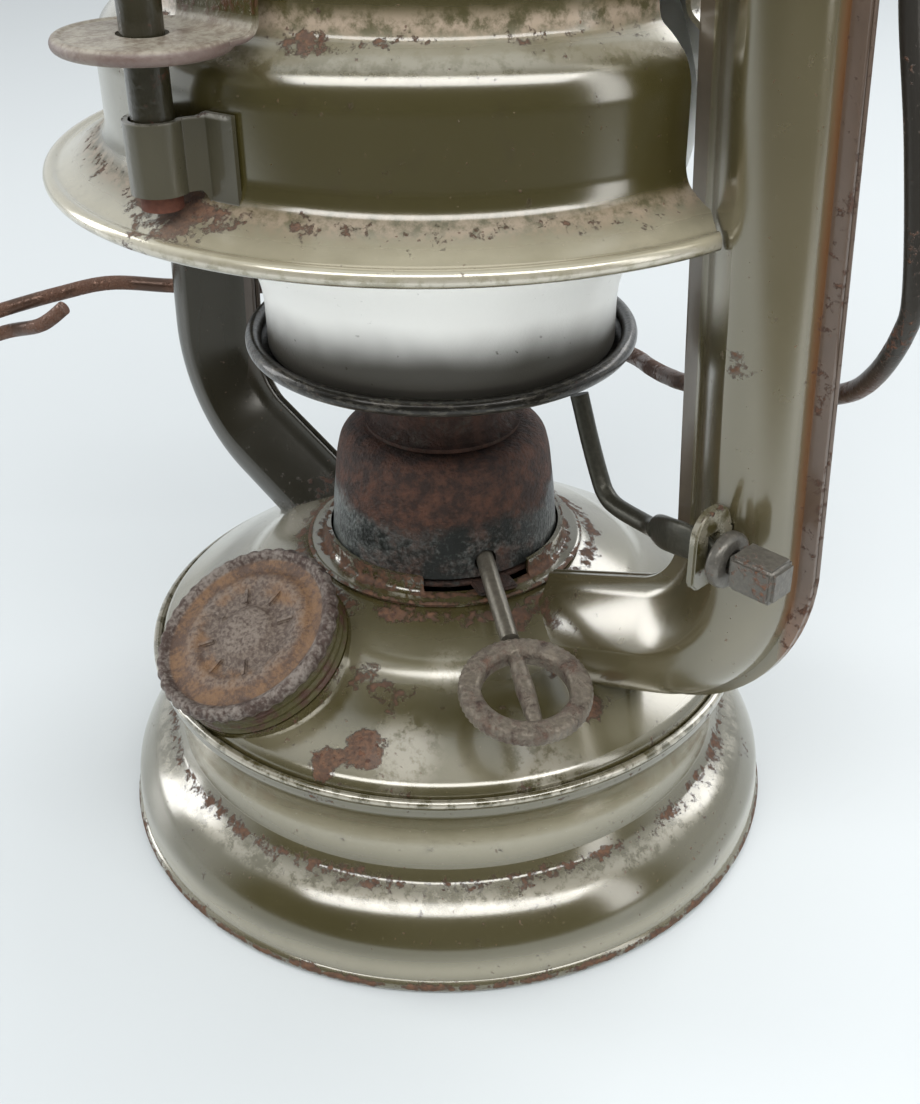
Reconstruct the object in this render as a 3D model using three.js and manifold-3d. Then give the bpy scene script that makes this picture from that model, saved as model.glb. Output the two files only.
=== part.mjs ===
// Small tubular blackout lantern, in millimetres, +Z up, the tank's axis at x = y = 0, the floor at z = 0.
// The air tubes stand at +X and -X, the filler cap and the shroud's guide rod at the front, -Y.
import * as THREE from 'three'
import { mergeVertices } from 'three/addons/utils/BufferGeometryUtils.js'
import Module from 'manifold-3d'

const wasm = await Module()
wasm.setup()

// Common sizes
const tin = 0.8 // sheet thickness of the pressed steel pieces
const gap = 0.3 // clearance between pieces that touch
const overrun = 6 // how far a cutter reaches past what it cuts
const weld = 0.001 // points closer than this are one point
const degree = Math.PI / 180
const at = (r, z) => new THREE.Vector2(r, z)

// Tank, as the middle line of its sheet. In the tables of shares a share of a radius comes before a share
// of a height.
const tank = { foot: 58.6, bead: 1.4, seam: 52.6, seamLow: 31.6, seamTall: 3.2, fold: 0.6, dome: 16.1,
  hole: 20.6 }
const bulgeShares = [[1.0051, 0.1392], [0.9932, 0.2722], [0.9454, 0.4051], [0.8635, 0.5127]]
const waistShares = [[0.843, 0.5696], [0.8379, 0.7089], [0.8567, 0.8671]]
const domeShares = [[0.9658, 0.087], [0.6844, 0.6087], [0.6388, 0.7391], [0.4563, 1]]
const bottom = { groove: 1.8, lip: 3.4, padShare: 0.5631, fromShare: 0.6143, toShare: 0.8703,
  footShare: 0.913, edgeShare: 0.9539 }
const airHole = { r: 36, radius: 5 }

// Burner collar and burner
const collar = { flange: 24.3, seat: 0.9, lip: 20.5, tall: 3.2, bend: 0.9 }
const lug = { reach: 23.4, width: 7, angle: 12, passShare: 1.6 }
const burnerPlate = { r: 19.6, thick: 0.8 }
const cone = { foot: 19.2, tall: 19.4 }
const coneShares = [[1, 0], [0.9167, 0.866], [0.8438, 0.9794], [0.6198, 1]]
const gallery = { foot: 13.4, tall: 21.5, dome: 2.4 }
const galleryShares = [[1, 0], [0.8433, 0.0233], [0.7761, 0.1163], [0.7761, 0.7674], [0.6418, 1]]
const flameSlot = { length: 14, width: 4.4 }
const wick = { width: 12.4, thick: 2, low: 9, below: 4.9 }
const wickTube = { sink: 6.5, below: 8, wall: 0.5 }
const wickWindow = { length: 10.4, under: 4, over: 4.6 }
const shaft = { radius: 1.5, thin: 1, offset: 3.3, above: 7.9, start: -8, thinEnd: 6.6, slope: 10.7 }
const burnerTurn = -33.6 // degrees from +X to the wick knob
const wickWheel = { outer: 2.15, root: 1.65, thick: 1.3, spread: 3, teeth: 8, bore: 1.3 }
const knob = { centre: 48.9, radius: 10.3, band: 3.6, thick: 2.8, bar: 2.6, ridges: 20, ridge: 0.25 }

// Filler neck and cap, on an axis square to the dome's slope
const filler = { angle: -94, r: 38.8, tilt: 29, domeShare: 0.4938 }
const neck = { foot: 15.4, footLow: -4.5, footHigh: 1.2, thread: 13.7, bore: 12.4, top: 6.4 }
const cap = { low: 1.6, skirt: 15.4, wall: 0.9, groove: 0.5, grooves: 3, shoulder: 6.2, rim: 16.6,
  rimTop: 8.9, disc: 7.7, inner: 14.2, ringWide: 2.2, ridges: 18, ridge: 0.5 }
const capBoss = { radius: 4.2, high: 0.6, ring: 10, ringWidth: 1.4, ribs: 8, rib: 1.2, ribStart: 5.4,
  ribEnd: 9.4 }
const gasket = { outer: 13.7, thick: 0.4 }

// Air tubes: two pressed halves with lock seam fins in the plane y = 0, leaning in towards the top
const tube = { r: 62.4, lean: 4.8, deep: 9.1, wide: 7.8, fin: 2.6, elbowFin: 0.9, finThick: 0.9, split: 0.2,
  bend: 21, outerShare: 2.6, innerShare: 1.15, lowBend: 73, highBend: 188, lowTurn: 68, lowEnd: 28.5,
  highEnd: 26, bends: 5, outerSteps: 7, innerSteps: 4, collarStop: 25.6 }

// Canopy: the drum that joins the tubes, and the light skirt below it
const drum = { bore: 16.4, under: 8.6, rise: 1.4, over: 11.2, side: 34.6, seamR: 37.6, corner: 3.4,
  shoulder: 6, airRadius: 6.4 }
const skirt = { r: 41.4, below: 1, tall: 41.4, rim: 44.1, rimFold: 4, rimTall: 5.2, flare: 2.6, hold: 29 }

// Globe, its plate and the lever that lifts them
const glass = 1.5
const globeSteps = 7
const globe = { wide: 37.9, tall: 79.2, over: 16.6 }
const globeShares = [[0.7282, 0], [0.7309, 0.1136], [0.781, 0.1894], [0.9024, 0.2778], [0.9921, 0.3914],
  [1, 0.4924], [0.9235, 0.6313], [0.781, 0.7828], [0.6544, 0.8965], [0.5831, 0.9596], [0.5699, 1]]
const plate = { hole: 11.6, hub: 3, floor: 3.4, floorR: 23.6, brimR: 29.6, brimRise: 2.8, rimR: 30.7,
  rimRise: 4.2, bead: 1.3 }
const ventRing = { count: 8, r: 17.6, radius: 1.6, sides: 6 }
const lever = { wire: 1.45, blade: 5.4, bladeThick: 1.7, washer: 4, washerOut: 2.1, washerThick: 2.1,
  bore: 1.8, tab: 5.6, tabOut: 4.8, tabLong: 7.2, tipShare: 0.55, steps: 18 }
const fulcrum = { out: 2.3, thick: 1.3, y: 12.1, under: 6.1, half: 4, below: 5.1, above: 6.9,
  slotWide: 1.3, slotHigh: 3.1, foot: 4.6, footDeep: 7 }
// Shares of the fulcrum's x and y and of the height of the globe plate's floor
const leverShares = [[0.4463, 0.1405, 1.0104], [0.4603, 0.1322, 0.9838], [0.4914, 0.0992, 0.933],
  [0.5334, 0.0496, 0.8753], [0.5645, 0, 0.8487], [0.6159, -0.0826, 0.8406], [0.7356, -0.2645, 0.851],
  [0.7838, -0.4628, 0.8707]]
const bladeShares = [[0.7745, -0.4876, 0.8753], [0.8802, -0.8595, 0.9122], [0.9736, -0.9835, 0.9284],
  [1.07, -1.0083, 0.9296]]

// Chimney, crown and lift ring
const chimney = { r: 15, flareR: 25, flareTall: 8.6, over: 2.2, neck: 13, below: 6.6 }
const flareShares = [[1, 0], [0.964, 0.2791], [0.824, 0.5349], [0.664, 1]]
const spring = { radius: 18.6, wire: 1, turns: 4, above: 9, below: 1.2, sides: 5, steps: 8 }
const crown = { above: 4.2, foot: 16.1, waist: 20.2, waistRise: 2.6, edge: 20.8, tall: 20.2, holes: 12,
  hole: 2.6, holeSides: 5, holeRise: 9.2 }
const hood = { edge: 25, tall: 12, cover: 4.2 }
const hoodShares = [[1, 0], [0.956, 0.0917], [0.864, 0.4167], [0.44, 0.85], [0, 1]]
const staple = { half: 3, high: 3.8, wire: 0.9 }
const liftRing = { radius: 8.2, wire: 0.95, lie: 13 }

// Blackout shroud with its brim, and the rod that guides it
const shroud = { low: 120.7, brim: 57.6, bead: 1.2, brimTall: 6.7, wall: 48.6, wallTall: 11,
  shoulderTall: 7, neckRoom: 1.4, neckTall: 39.6 }
// Shares of the way from the wall to the brim and from the neck to the wall, and of each height
const brimShares = [[1, 0], [0.4222, 0.3582], [0.0889, 0.6716], [0, 1]]
const shoulderShares = [[1, 0], [0.8793, 0.3714], [0.4483, 0.6571], [0, 1]]
const shroudSlot = { half: 3.1, tall: 29.3 }
const tubeClear = 0.6 // room between the shroud's brim and the tubes it slides along
const guide = { angle: -84, out: 5.4, rod: 2.7, low: 3.9, tall: 53.4, nut: 4.3, nutUnder: 4.6, nutOver: 2.2 }
const strap = { wall: 0.8, low: 5.9, tall: 9.2, bandLow: 3.9, bandTall: 11.8, before: 3, after: 10.4 }
const ear = { radius: 11.7, deep: 10.6, rise: 24, thick: 1.1, legRoom: 0.8, legWidth: 14, legShift: 4 }

// Bail of round wire, hooked in the right ear, its left hook hanging free
const bailEar = { out: 7.5, thick: 1.3, half: 4.6, below: 11.4, rise: 1.4, hole: 2.3, reach: 7.4 }
const bailWire = 1.5
const bailSteps = 46
// Shares of the bail ear's x, again of its x, and of the height of its hole
const bailShares = [[0.9616, 0, 1], [1.0338, 0, 1], [1.0768, 0.0061, 0.9895], [1.086, 0.0246, 0.9506],
  [1.0891, 0.0614, 0.8555], [1.0968, 0.0707, 0.7605], [1.1183, 0.0737, 0.7082], [1.172, 0.0737, 0.6369],
  [1.2181, 0.0737, 0.5561], [1.2074, 0.0829, 0.5257], [1.1275, 0.1321, 0.4867], [1.0292, 0.1935, 0.4582],
  [0.8449, 0.2704, 0.4297], [0.5376, 0.3472, 0.4002], [0.4209, 0.3994, 0.3897], [0.3134, 0.467, 0.3802],
  [0.1536, 0.5591, 0.3698], [-0.1843, 0.5929, 0.3679], [-0.5837, 0.4762, 0.3698],
  [-0.9217, 0.2304, 0.3688], [-1.1214, 0.0983, 0.3641], [-1.2381, 0.0061, 0.3631],
  [-1.3717, -0.1229, 0.366], [-1.4808, -0.2458, 0.3565], [-1.5975, -0.3994, 0.3422],
  [-1.6836, -0.5008, 0.3298], [-1.7204, -0.5315, 0.3165], [-1.6836, -0.4823, 0.3089],
  [-1.5822, -0.3871, 0.3213], [-1.4347, -0.3472, 0.3375], [-1.3579, -0.3011, 0.3574]]

// Heights and places that follow from the sizes above
const seamHigh = tank.seamLow + tank.seamTall
const domeHigh = seamHigh + tank.dome
const collarZ = domeHigh + collar.seat
const plateLow = collarZ + tin / 2 + gap
const coneLow = plateLow + burnerPlate.thick + tin / 2 + gap
const galleryLow = coneLow + cone.tall + tin + gap
const galleryTop = galleryLow + gallery.tall + gallery.dome
const shaftZ = plateLow + shaft.above
const globeLow = coneLow + cone.tall + globe.over
const globeHigh = globeLow + globe.tall
const floorZ = globeLow - plate.floor
const tubeHighR = tube.r - tube.lean
const tubeTop = tube.highBend + tube.bend
const drumLow = tubeTop - drum.under
const drumHigh = tubeTop + drum.over
const drumSeam = tubeTop + drum.rise
const skirtHigh = drumLow - skirt.below
const skirtLow = skirtHigh - skirt.tall
const chimneyLow = globeHigh - chimney.over
const crownLow = drumHigh + crown.above
const crownHigh = crownLow + crown.tall
const hoodLow = crownHigh - hood.cover
const neckR = skirt.r + shroud.neckRoom
const wallLow = shroud.low + shroud.brimTall
const shoulderLow = wallLow + shroud.wallTall
const guideR = shroud.wall + guide.out
const guideLow = shroud.low + guide.low
const guideTop = guideLow + guide.tall
const fulcrumPlace = { x: tube.r - tube.lean * (floorZ - tube.lowBend) / (tube.highBend - tube.lowBend)
  + fulcrum.out, z: floorZ - fulcrum.under }
const earX = tubeHighR + bailEar.out
const earZ = tubeTop + bailEar.rise

// Geometry helpers
const roundSteps = 24 // facets round the large turned pieces
const middleSteps = 20
const smallSteps = 16
const rodSides = 12
const coarseSides = 8
const wireSides = 6
const curveSteps = 8 // facets in half a turn of a pressed outline
const beadSteps = 5
const beadOpen = 0.2 // radians left open where a sheet leaves its bead
const up = new THREE.Vector3(0, 0, 1)

function clean(geometry) {
  const bare = geometry.clone()
  for (const name of Object.keys(bare.attributes)) if (name !== 'position') bare.deleteAttribute(name)
  const merged = mergeVertices(bare, weld)
  const kept = []
  const index = merged.index.array
  for (let i = 0; i < index.length; i += 3) {
    const [a, b, c] = [index[i], index[i + 1], index[i + 2]]
    if (a !== b && b !== c && c !== a) kept.push(a, b, c)
  }
  merged.setIndex(kept)
  return merged
}

function solidOf(geometry) {
  const closed = clean(geometry)
  return new wasm.Manifold(new wasm.Mesh({
    numProp: 3,
    vertProperties: new Float32Array(closed.attributes.position.array),
    triVerts: new Uint32Array(closed.index.array)
  }))
}

function geometryOf(solid) {
  const mesh = solid.getMesh()
  const geometry = new THREE.BufferGeometry()
  geometry.setAttribute('position', new THREE.BufferAttribute(new Float32Array(mesh.vertProperties),
    mesh.numProp))
  geometry.setIndex(Array.from(mesh.triVerts))
  geometry.computeVertexNormals()
  return geometry
}

const cut = (geometry, ...tools) =>
  geometryOf(tools.reduce((rest, tool) => rest.subtract(solidOf(tool)), solidOf(geometry)))
const join = (geometry, ...others) =>
  geometryOf(others.reduce((sum, other) => sum.add(solidOf(other)), solidOf(geometry)))

// Turns a closed outline of radius and height round the Z axis.
function turned(outline, steps = roundSteps) {
  const ring = THREE.ShapeUtils.isClockWise(outline) ? [...outline].reverse() : [...outline]
  ring.push(ring[0].clone())
  return clean(new THREE.LatheGeometry(ring, steps).rotateX(Math.PI / 2))
}

// The outline of a sheet from its middle line, with a rolled bead at its start where one is asked for.
function sheetOutline(line, thick = tin, bead = 0) {
  const half = thick / 2
  const normals = line.map((point, i) => {
    const before = line[Math.max(i - 1, 0)]
    const after = line[Math.min(i + 1, line.length - 1)]
    const along = after.clone().sub(before).normalize()
    return new THREE.Vector2(-along.y, along.x)
  })
  const side = sign => line.map((point, i) => {
    const moved = point.clone().addScaledVector(normals[i], sign * half)
    moved.x = Math.max(moved.x, 0)
    return moved
  })
  const left = side(1)
  const right = side(-1)
  if (!bead) return [...left, ...right.reverse()]
  const heading = line[1].clone().sub(line[0]).angle()
  const open = Math.asin(half / bead) + beadOpen
  const arc = []
  for (let i = 0; i <= beadSteps; i += 1) {
    const angle = heading + open + (2 * Math.PI - 2 * open) * i / beadSteps
    arc.push(at(line[0].x + bead * Math.cos(angle), line[0].y + bead * Math.sin(angle)))
  }
  return [...arc, ...right.slice(1), ...left.slice(1).reverse()]
}
// The outer face of a sheet drawn outside on its right hand, grown by a clearance.
const outerSide = (line, clear) => sheetOutline(line, tin + 2 * clear).slice(line.length).reverse()

const shaped = (shares, wide, low, tall) => shares.map(([r, z]) => at(wide * r, low + tall * z))
const spread = (shares, inner, outer, low, tall) =>
  shares.map(([r, z]) => at(inner + (outer - inner) * r, low + tall * z))
const placed = (shares, x, y, z) => shares.map(([a, b, c]) => [a * x, b * y, c * z])
const smooth = (points, count) => new THREE.SplineCurve(points).getPoints(count)
const sheet = (line, steps, bead, thick) => turned(sheetOutline(line, thick, bead), steps)
const radial = (r, angle, z) => new THREE.Vector3(r * Math.cos(angle * degree),
  r * Math.sin(angle * degree), z)

// A straight round bar from one point to another.
function bar(from, to, radius, sides = smallSteps) {
  const span = to.clone().sub(from)
  const geometry = new THREE.CylinderGeometry(radius, radius, span.length(), sides).rotateX(Math.PI / 2)
  geometry.applyQuaternion(new THREE.Quaternion().setFromUnitVectors(up, span.clone().normalize()))
  return geometry.translate(...from.clone().add(to).multiplyScalar(0.5).toArray())
}

function box(x0, x1, y0, y1, z0, z1) {
  const geometry = new THREE.BoxGeometry(x1 - x0, y1 - y0, z1 - z0)
  return geometry.translate((x0 + x1) / 2, (y0 + y1) / 2, (z0 + z1) / 2)
}

function circleShape(radius, sides) {
  const shape = new THREE.Shape()
  for (let i = 0; i < sides; i += 1) {
    const angle = 2 * Math.PI * i / sides
    shape[i ? 'lineTo' : 'moveTo'](radius * Math.cos(angle), radius * Math.sin(angle))
  }
  return shape
}

const extruded = (shape, depth, curveSegments = curveSteps) =>
  new THREE.ExtrudeGeometry(shape, { depth, bevelEnabled: false, curveSegments })

// A round wire through a list of points.
function wire(run, radius, steps, sides = wireSides) {
  const path = new THREE.CatmullRomCurve3(run.map(point => new THREE.Vector3(...point)), false, 'centripetal')
  return new THREE.ExtrudeGeometry(circleShape(radius, sides), { steps, extrudePath: path,
    bevelEnabled: false })
}

// Joins closed rings of points into one skin and closes both ends.
function loft(rings, capOutline) {
  const count = rings[0].length
  const positions = rings.flat().flatMap(point => point.toArray())
  const index = []
  for (let i = 0; i < rings.length - 1; i += 1) {
    for (let j = 0; j < count; j += 1) {
      const [a, b] = [i * count + j, i * count + (j + 1) % count]
      index.push(a, b, a + count, b, b + count, a + count)
    }
  }
  const last = (rings.length - 1) * count
  const sense = Math.sign(THREE.ShapeUtils.area(capOutline))
  for (const face of THREE.ShapeUtils.triangulateShape([...capOutline], [])) {
    const same = Math.sign(THREE.ShapeUtils.area(face.map(i => capOutline[i]))) === sense
    const [a, b, c] = same ? face : [...face].reverse()
    index.push(c, b, a, last + a, last + b, last + c)
  }
  const geometry = new THREE.BufferGeometry()
  geometry.setAttribute('position', new THREE.Float32BufferAttribute(positions, 3))
  geometry.setIndex(index)
  return geometry
}

const enamel = { color: 0x4b4a30, roughness: 0.32, metalness: 0.1 }
const darkEnamel = { color: 0x3a3a2c, roughness: 0.4, metalness: 0.1 }
const rustySteel = { color: 0x5a382a, roughness: 0.85, metalness: 0.2 }
const darkSteel = { color: 0x34302c, roughness: 0.5, metalness: 0.7 }
const zinc = { color: 0x6d7478, roughness: 0.5, metalness: 0.6 }
const rubber = { color: 0x2a2622, roughness: 0.9, metalness: 0 }
const cotton = { color: 0xd8d0bc, roughness: 0.95, metalness: 0 }
const frosted = { color: 0xdfe2e0, roughness: 0.5, metalness: 0, transparent: true, opacity: 0.7 }

const lantern = new THREE.Group()

function add(name, geometry, finish, parent = lantern) {
  const mesh = new THREE.Mesh(clean(geometry), new THREE.MeshStandardMaterial(finish))
  mesh.name = name
  parent.add(mesh)
  return mesh
}

// Tank
const bulge = shaped(bulgeShares, tank.foot, 0, tank.seamLow)
const tankWall = [at(tank.foot, tank.bead), ...smooth(bulge, bulge.length),
  ...shaped(waistShares, tank.foot, 0, tank.seamLow), at(tank.seam, tank.seamLow), at(tank.seam, seamHigh)]
const domeSkirt = tank.seam - tin - gap
const domeLine = [at(domeSkirt, tank.seamLow + tank.fold), at(domeSkirt, seamHigh),
  ...shaped(domeShares, tank.seam, seamHigh, tank.dome), at(tank.hole, domeHigh)]

// The space under the dome's outer face, grown by a clearance, to trim what stands on it.
function domeSpace(clear) {
  const outside = tank.seam + tin
  return turned([at(0, 0), at(outside, 0), at(outside, seamHigh), ...outerSide(domeLine, clear).slice(1),
    at(0, domeHigh + tin / 2 + clear)])
}

function makeTank() {
  add('tank_shell', sheet(tankWall, roundSteps, tank.bead), enamel)
  const edge = tank.foot * bottom.edgeShare
  const bottomLine = [at(0, tin / 2), at(tank.foot * bottom.padShare, tin / 2),
    at(tank.foot * bottom.fromShare, bottom.groove), at(tank.foot * bottom.toShare, bottom.groove),
    at(tank.foot * bottom.footShare, tin / 2), at(edge, tin / 2), at(edge + tin / 2, bottom.lip)]
  add('tank_bottom', sheet(bottomLine, middleSteps), enamel)
  const fillerAxis = fillerPlace()
  const fillerHole = new THREE.CylinderGeometry(neck.foot + gap, neck.foot + gap, 2 * overrun, smallSteps)
    .rotateX(Math.PI / 2).applyMatrix4(fillerAxis)
  const airHoles = [airHole.r, -airHole.r].map(x => bar(new THREE.Vector3(x, 0, seamHigh),
    new THREE.Vector3(x, 0, domeHigh), airHole.radius, coarseSides))
  add('tank_dome', cut(sheet(domeLine, roundSteps), fillerHole, ...airHoles), enamel)
}

// Filler
function fillerPlace() {
  const foot = radial(filler.r, filler.angle, seamHigh + tank.dome * filler.domeShare)
  const axis = radial(Math.sin(filler.tilt * degree), filler.angle, Math.cos(filler.tilt * degree))
  const turn = new THREE.Quaternion().setFromUnitVectors(up, axis.normalize())
  return new THREE.Matrix4().compose(foot, turn, new THREE.Vector3(1, 1, 1))
}

function ridgedRing(outer, inner, ridge, count, depth) {
  const shape = new THREE.Shape()
  for (let i = 0; i < 2 * count; i += 1) {
    const angle = Math.PI * i / count
    const r = i % 2 ? outer : outer - ridge
    shape[i ? 'lineTo' : 'moveTo'](r * Math.cos(angle), r * Math.sin(angle))
  }
  shape.holes.push(circleShape(inner, smallSteps))
  return extruded(shape, depth)
}

function makeFiller() {
  const place = new THREE.Group()
  place.applyMatrix4(fillerPlace())
  lantern.add(place)
  const neckOutline = [at(neck.bore, neck.footLow), at(neck.foot, neck.footLow), at(neck.foot, neck.footHigh),
    at(neck.thread, neck.footHigh), at(neck.thread, neck.top), at(neck.bore, neck.top)]
  add('filler_neck', turned(neckOutline, smallSteps), enamel, place)
  const sealLow = neck.top + gap
  const sealHigh = sealLow + gasket.thick
  add('cap_gasket', turned([at(0, sealLow), at(gasket.outer, sealLow), at(gasket.outer, sealHigh),
    at(0, sealHigh)],
    smallSteps), rubber, place)

  const skirtStep = (cap.shoulder - cap.low) / (2 * cap.grooves)
  const ribs = []
  for (let i = 0; i < 2 * cap.grooves; i += 1) {
    const r = cap.skirt - (i % 2 ? cap.groove : 0)
    ribs.push(at(r, cap.low + skirtStep * i), at(r, cap.low + skirtStep * (i + 1) - gap))
  }
  const ceiling = sealHigh + gap
  const discTop = Math.max(cap.disc, ceiling + tin / 2)
  const design = [at(cap.rim - cap.ringWide, discTop), at(capBoss.ring + capBoss.ringWidth, discTop),
    at(capBoss.ring + capBoss.ringWidth / 2, discTop + capBoss.high),
    at(capBoss.ring - capBoss.ringWidth / 2, discTop + capBoss.high), at(capBoss.ring - capBoss.ringWidth,
    discTop),
    at(capBoss.radius + capBoss.high, discTop), at(capBoss.radius, discTop + capBoss.high),
    at(0, discTop + capBoss.high)]
  const body = turned([at(cap.inner, cap.low), ...ribs, at(cap.rim - cap.ridge, cap.shoulder),
    ...design.slice(0, 1).map(point => at(cap.rim - cap.ridge, point.y)), ...design.slice(1), at(0, ceiling),
    at(cap.inner, ceiling)], middleSteps)
  const crimp = ridgedRing(cap.rim, cap.rim - cap.ringWide, cap.ridge, cap.ridges, cap.rimTop - cap.shoulder)
    .translate(0, 0, cap.shoulder)
  const spokes = []
  for (let i = 0; i < capBoss.ribs; i += 1) {
    const spoke = box(capBoss.ribStart, capBoss.ribEnd, -capBoss.rib / 2, capBoss.rib / 2, discTop - gap,
      discTop + capBoss.high / 2)
    spokes.push(spoke.rotateZ(2 * Math.PI * i / capBoss.ribs))
  }
  add('filler_cap', join(body, crimp, ...spokes), rustySteel, place)
}

// Burner, built with its wick along X and turned to the knob's side
function makeBurner() {
  const place = new THREE.Group()
  place.rotation.z = burnerTurn * degree
  lantern.add(place)

  const lipLine = [at(collar.flange, collarZ), at(collar.lip + collar.bend, collarZ),
    at(collar.lip, collarZ + collar.bend), at(collar.lip, collarZ + collar.tall)]
  const notches = [0, 180].map(side => {
    const notch = box(0, collar.flange, -lug.width * lug.passShare, lug.width, collarZ + tin / 2 + weld,
      collarZ + collar.tall + overrun)
    return notch.rotateZ((side + lug.angle) * degree)
  })
  add('burner_collar', cut(sheet(lipLine, middleSteps), ...notches), enamel, place)

  const tubeHalf = { x: wick.width / 2 + gap + wickTube.wall, y: wick.thick / 2 + gap + wickTube.wall }
  const slab = new THREE.CylinderGeometry(burnerPlate.r, burnerPlate.r, burnerPlate.thick, roundSteps)
    .rotateX(Math.PI / 2).translate(0, 0, plateLow + burnerPlate.thick / 2)
  const lugs = [0, 180].map(side => box(burnerPlate.r - lug.width / 2, lug.reach, -lug.width / 2,
    lug.width / 2,
    plateLow, plateLow + burnerPlate.thick).rotateZ((side + lug.angle) * degree))
  const wickGate = box(-tubeHalf.x - gap, tubeHalf.x + gap, -tubeHalf.y - gap, tubeHalf.y + gap,
    plateLow - overrun, plateLow + overrun)
  add('burner_plate', cut(join(slab, ...lugs), wickGate), zinc, place)

  const shaftTilt = new THREE.Group()
  shaftTilt.position.set(0, shaft.offset, shaftZ)
  shaftTilt.rotation.y = shaft.slope * degree
  place.add(shaftTilt)
  shaftTilt.updateMatrix()
  const shaftHole = bar(new THREE.Vector3(shaft.thinEnd, 0, 0), new THREE.Vector3(cone.foot + overrun, 0, 0),
    shaft.radius + gap, coarseSides).applyMatrix4(shaftTilt.matrix)
  const coneLine = shaped(coneShares, cone.foot, coneLow, cone.tall)
  add('burner_cone', cut(sheet(coneLine, middleSteps), shaftHole), rustySteel, place)

  const slot = box(-flameSlot.length / 2, flameSlot.length / 2, -flameSlot.width / 2, flameSlot.width / 2,
    galleryTop - gallery.dome, galleryTop + overrun)
  const galleryLine = [...shaped(galleryShares, gallery.foot, galleryLow, gallery.tall), at(0, galleryTop)]
  add('flame_gallery', cut(sheet(galleryLine, smallSteps), slot), rustySteel, place)

  const flat = (halfX, halfY) => {
    const shape = new THREE.Shape()
    shape.moveTo(-halfX + halfY, -halfY)
    shape.lineTo(halfX - halfY, -halfY)
    shape.absarc(halfX - halfY, 0, halfY, -Math.PI / 2, Math.PI / 2)
    shape.lineTo(-halfX + halfY, halfY)
    shape.absarc(-halfX + halfY, 0, halfY, Math.PI / 2, Math.PI * 3 / 2)
    return shape
  }
  const pipe = flat(tubeHalf.x, tubeHalf.y)
  pipe.holes.push(flat(tubeHalf.x - wickTube.wall, tubeHalf.y - wickTube.wall))
  const window = box(-wickWindow.length / 2, wickWindow.length / 2, 0, tubeHalf.y + overrun,
    shaftZ - wickWindow.under, shaftZ + wickWindow.over)
  const tubeLow = plateLow - wickTube.sink
  const standing = extruded(pipe, galleryTop - wickTube.below - tubeLow).translate(0, 0, tubeLow)
  add('wick_tube', cut(standing, window), zinc, place)
  add('wick', extruded(flat(wick.width / 2, wick.thick / 2), galleryTop - wick.below - wick.low)
    .translate(0, 0, wick.low), cotton, place)

  const barEnd = knob.centre - knob.radius - gap
  const thick = bar(new THREE.Vector3(shaft.thinEnd, 0, 0), new THREE.Vector3(barEnd, 0, 0), shaft.radius,
    rodSides)
  const thin = bar(new THREE.Vector3(shaft.start, 0, 0), new THREE.Vector3(shaft.thinEnd + shaft.thin, 0, 0),
    shaft.thin, rodSides)
  add('wick_shaft', join(thick, thin), darkSteel, shaftTilt)
  const wheels = { wick_wheel_outer: wickWheel.spread, wick_wheel_inner: -wickWheel.spread }
  for (const [name, x] of Object.entries(wheels)) {
    const disc = ridgedRing(wickWheel.outer, wickWheel.bore, wickWheel.outer - wickWheel.root,
      wickWheel.teeth,
      wickWheel.thick)
    add(name, disc.rotateY(Math.PI / 2).translate(x - wickWheel.thick / 2, 0, 0), zinc, shaftTilt)
  }
  const hoop = ridgedRing(knob.radius, knob.radius - knob.band, knob.ridge, knob.ridges, knob.thick)
    .translate(knob.centre, 0, -knob.thick / 2)
  const reach = knob.radius - knob.band / 2
  const cross = bar(new THREE.Vector3(knob.centre - reach, 0, 0), new THREE.Vector3(knob.centre + reach, 0,
    0),
    knob.bar / 2, rodSides)
  add('knob_ring', join(hoop, cross), rustySteel, shaftTilt)
}

// Air tubes. A station holds its place, the outward direction in the tube's plane and how wide its fins are.
function tubeStations() {
  const stations = []
  const turn = (angle, r, z, fin) => {
    const out = new THREE.Vector3(Math.cos(angle), 0, Math.sin(angle))
    stations.push({ place: new THREE.Vector3(r - tube.bend, 0, z).addScaledVector(out, tube.bend), out, fin })
  }
  const lowAngle = -tube.lowTurn * degree
  const leanAngle = Math.atan2(tube.lean, tube.highBend - tube.lowBend)
  const lowOut = new THREE.Vector3(Math.cos(lowAngle), 0, Math.sin(lowAngle))
  const lowStart = new THREE.Vector3(tube.r - tube.bend, 0, tube.lowBend).addScaledVector(lowOut, tube.bend)
  const lowHeading = new THREE.Vector3(Math.sin(lowAngle), 0, -Math.cos(lowAngle))
  stations.push({ place: lowStart.clone().addScaledVector(lowHeading, tube.lowEnd), out: lowOut,
    fin: tube.elbowFin })
  const { bends } = tube
  const between = THREE.MathUtils.lerp
  for (let i = 0; i <= bends; i += 1) {
    turn(between(lowAngle, leanAngle, i / bends), tube.r, tube.lowBend, between(tube.elbowFin, tube.fin,
      i / bends))
  }
  for (let i = 0; i <= bends; i += 1) {
    turn(between(leanAngle, Math.PI / 2, i / bends), tubeHighR, tube.highBend, tube.fin)
  }
  const highOut = new THREE.Vector3(0, 0, 1)
  stations.push({ place: new THREE.Vector3(tube.highEnd, 0, tubeTop), out: highOut, fin: tube.fin })
  return stations
}

// The rounded flank of a tube half as offsets outward and sideways, from the outer fin to the inner one.
function flank(grow, steps) {
  const points = []
  const start = Math.asin((tube.split + tube.finThick) / tube.wide)
  for (let i = 0; i <= steps; i += 1) {
    const angle = start + (Math.PI - 2 * start) * i / steps
    const power = 2 / (Math.cos(angle) > 0 ? tube.outerShare : tube.innerShare)
    const round = Math.abs(Math.cos(angle)) ** power * Math.sign(Math.cos(angle))
    const bulge = Math.sin(angle) ** power
    points.push(at((tube.deep + grow) * round, (tube.wide + grow) * bulge))
  }
  return points
}

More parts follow.
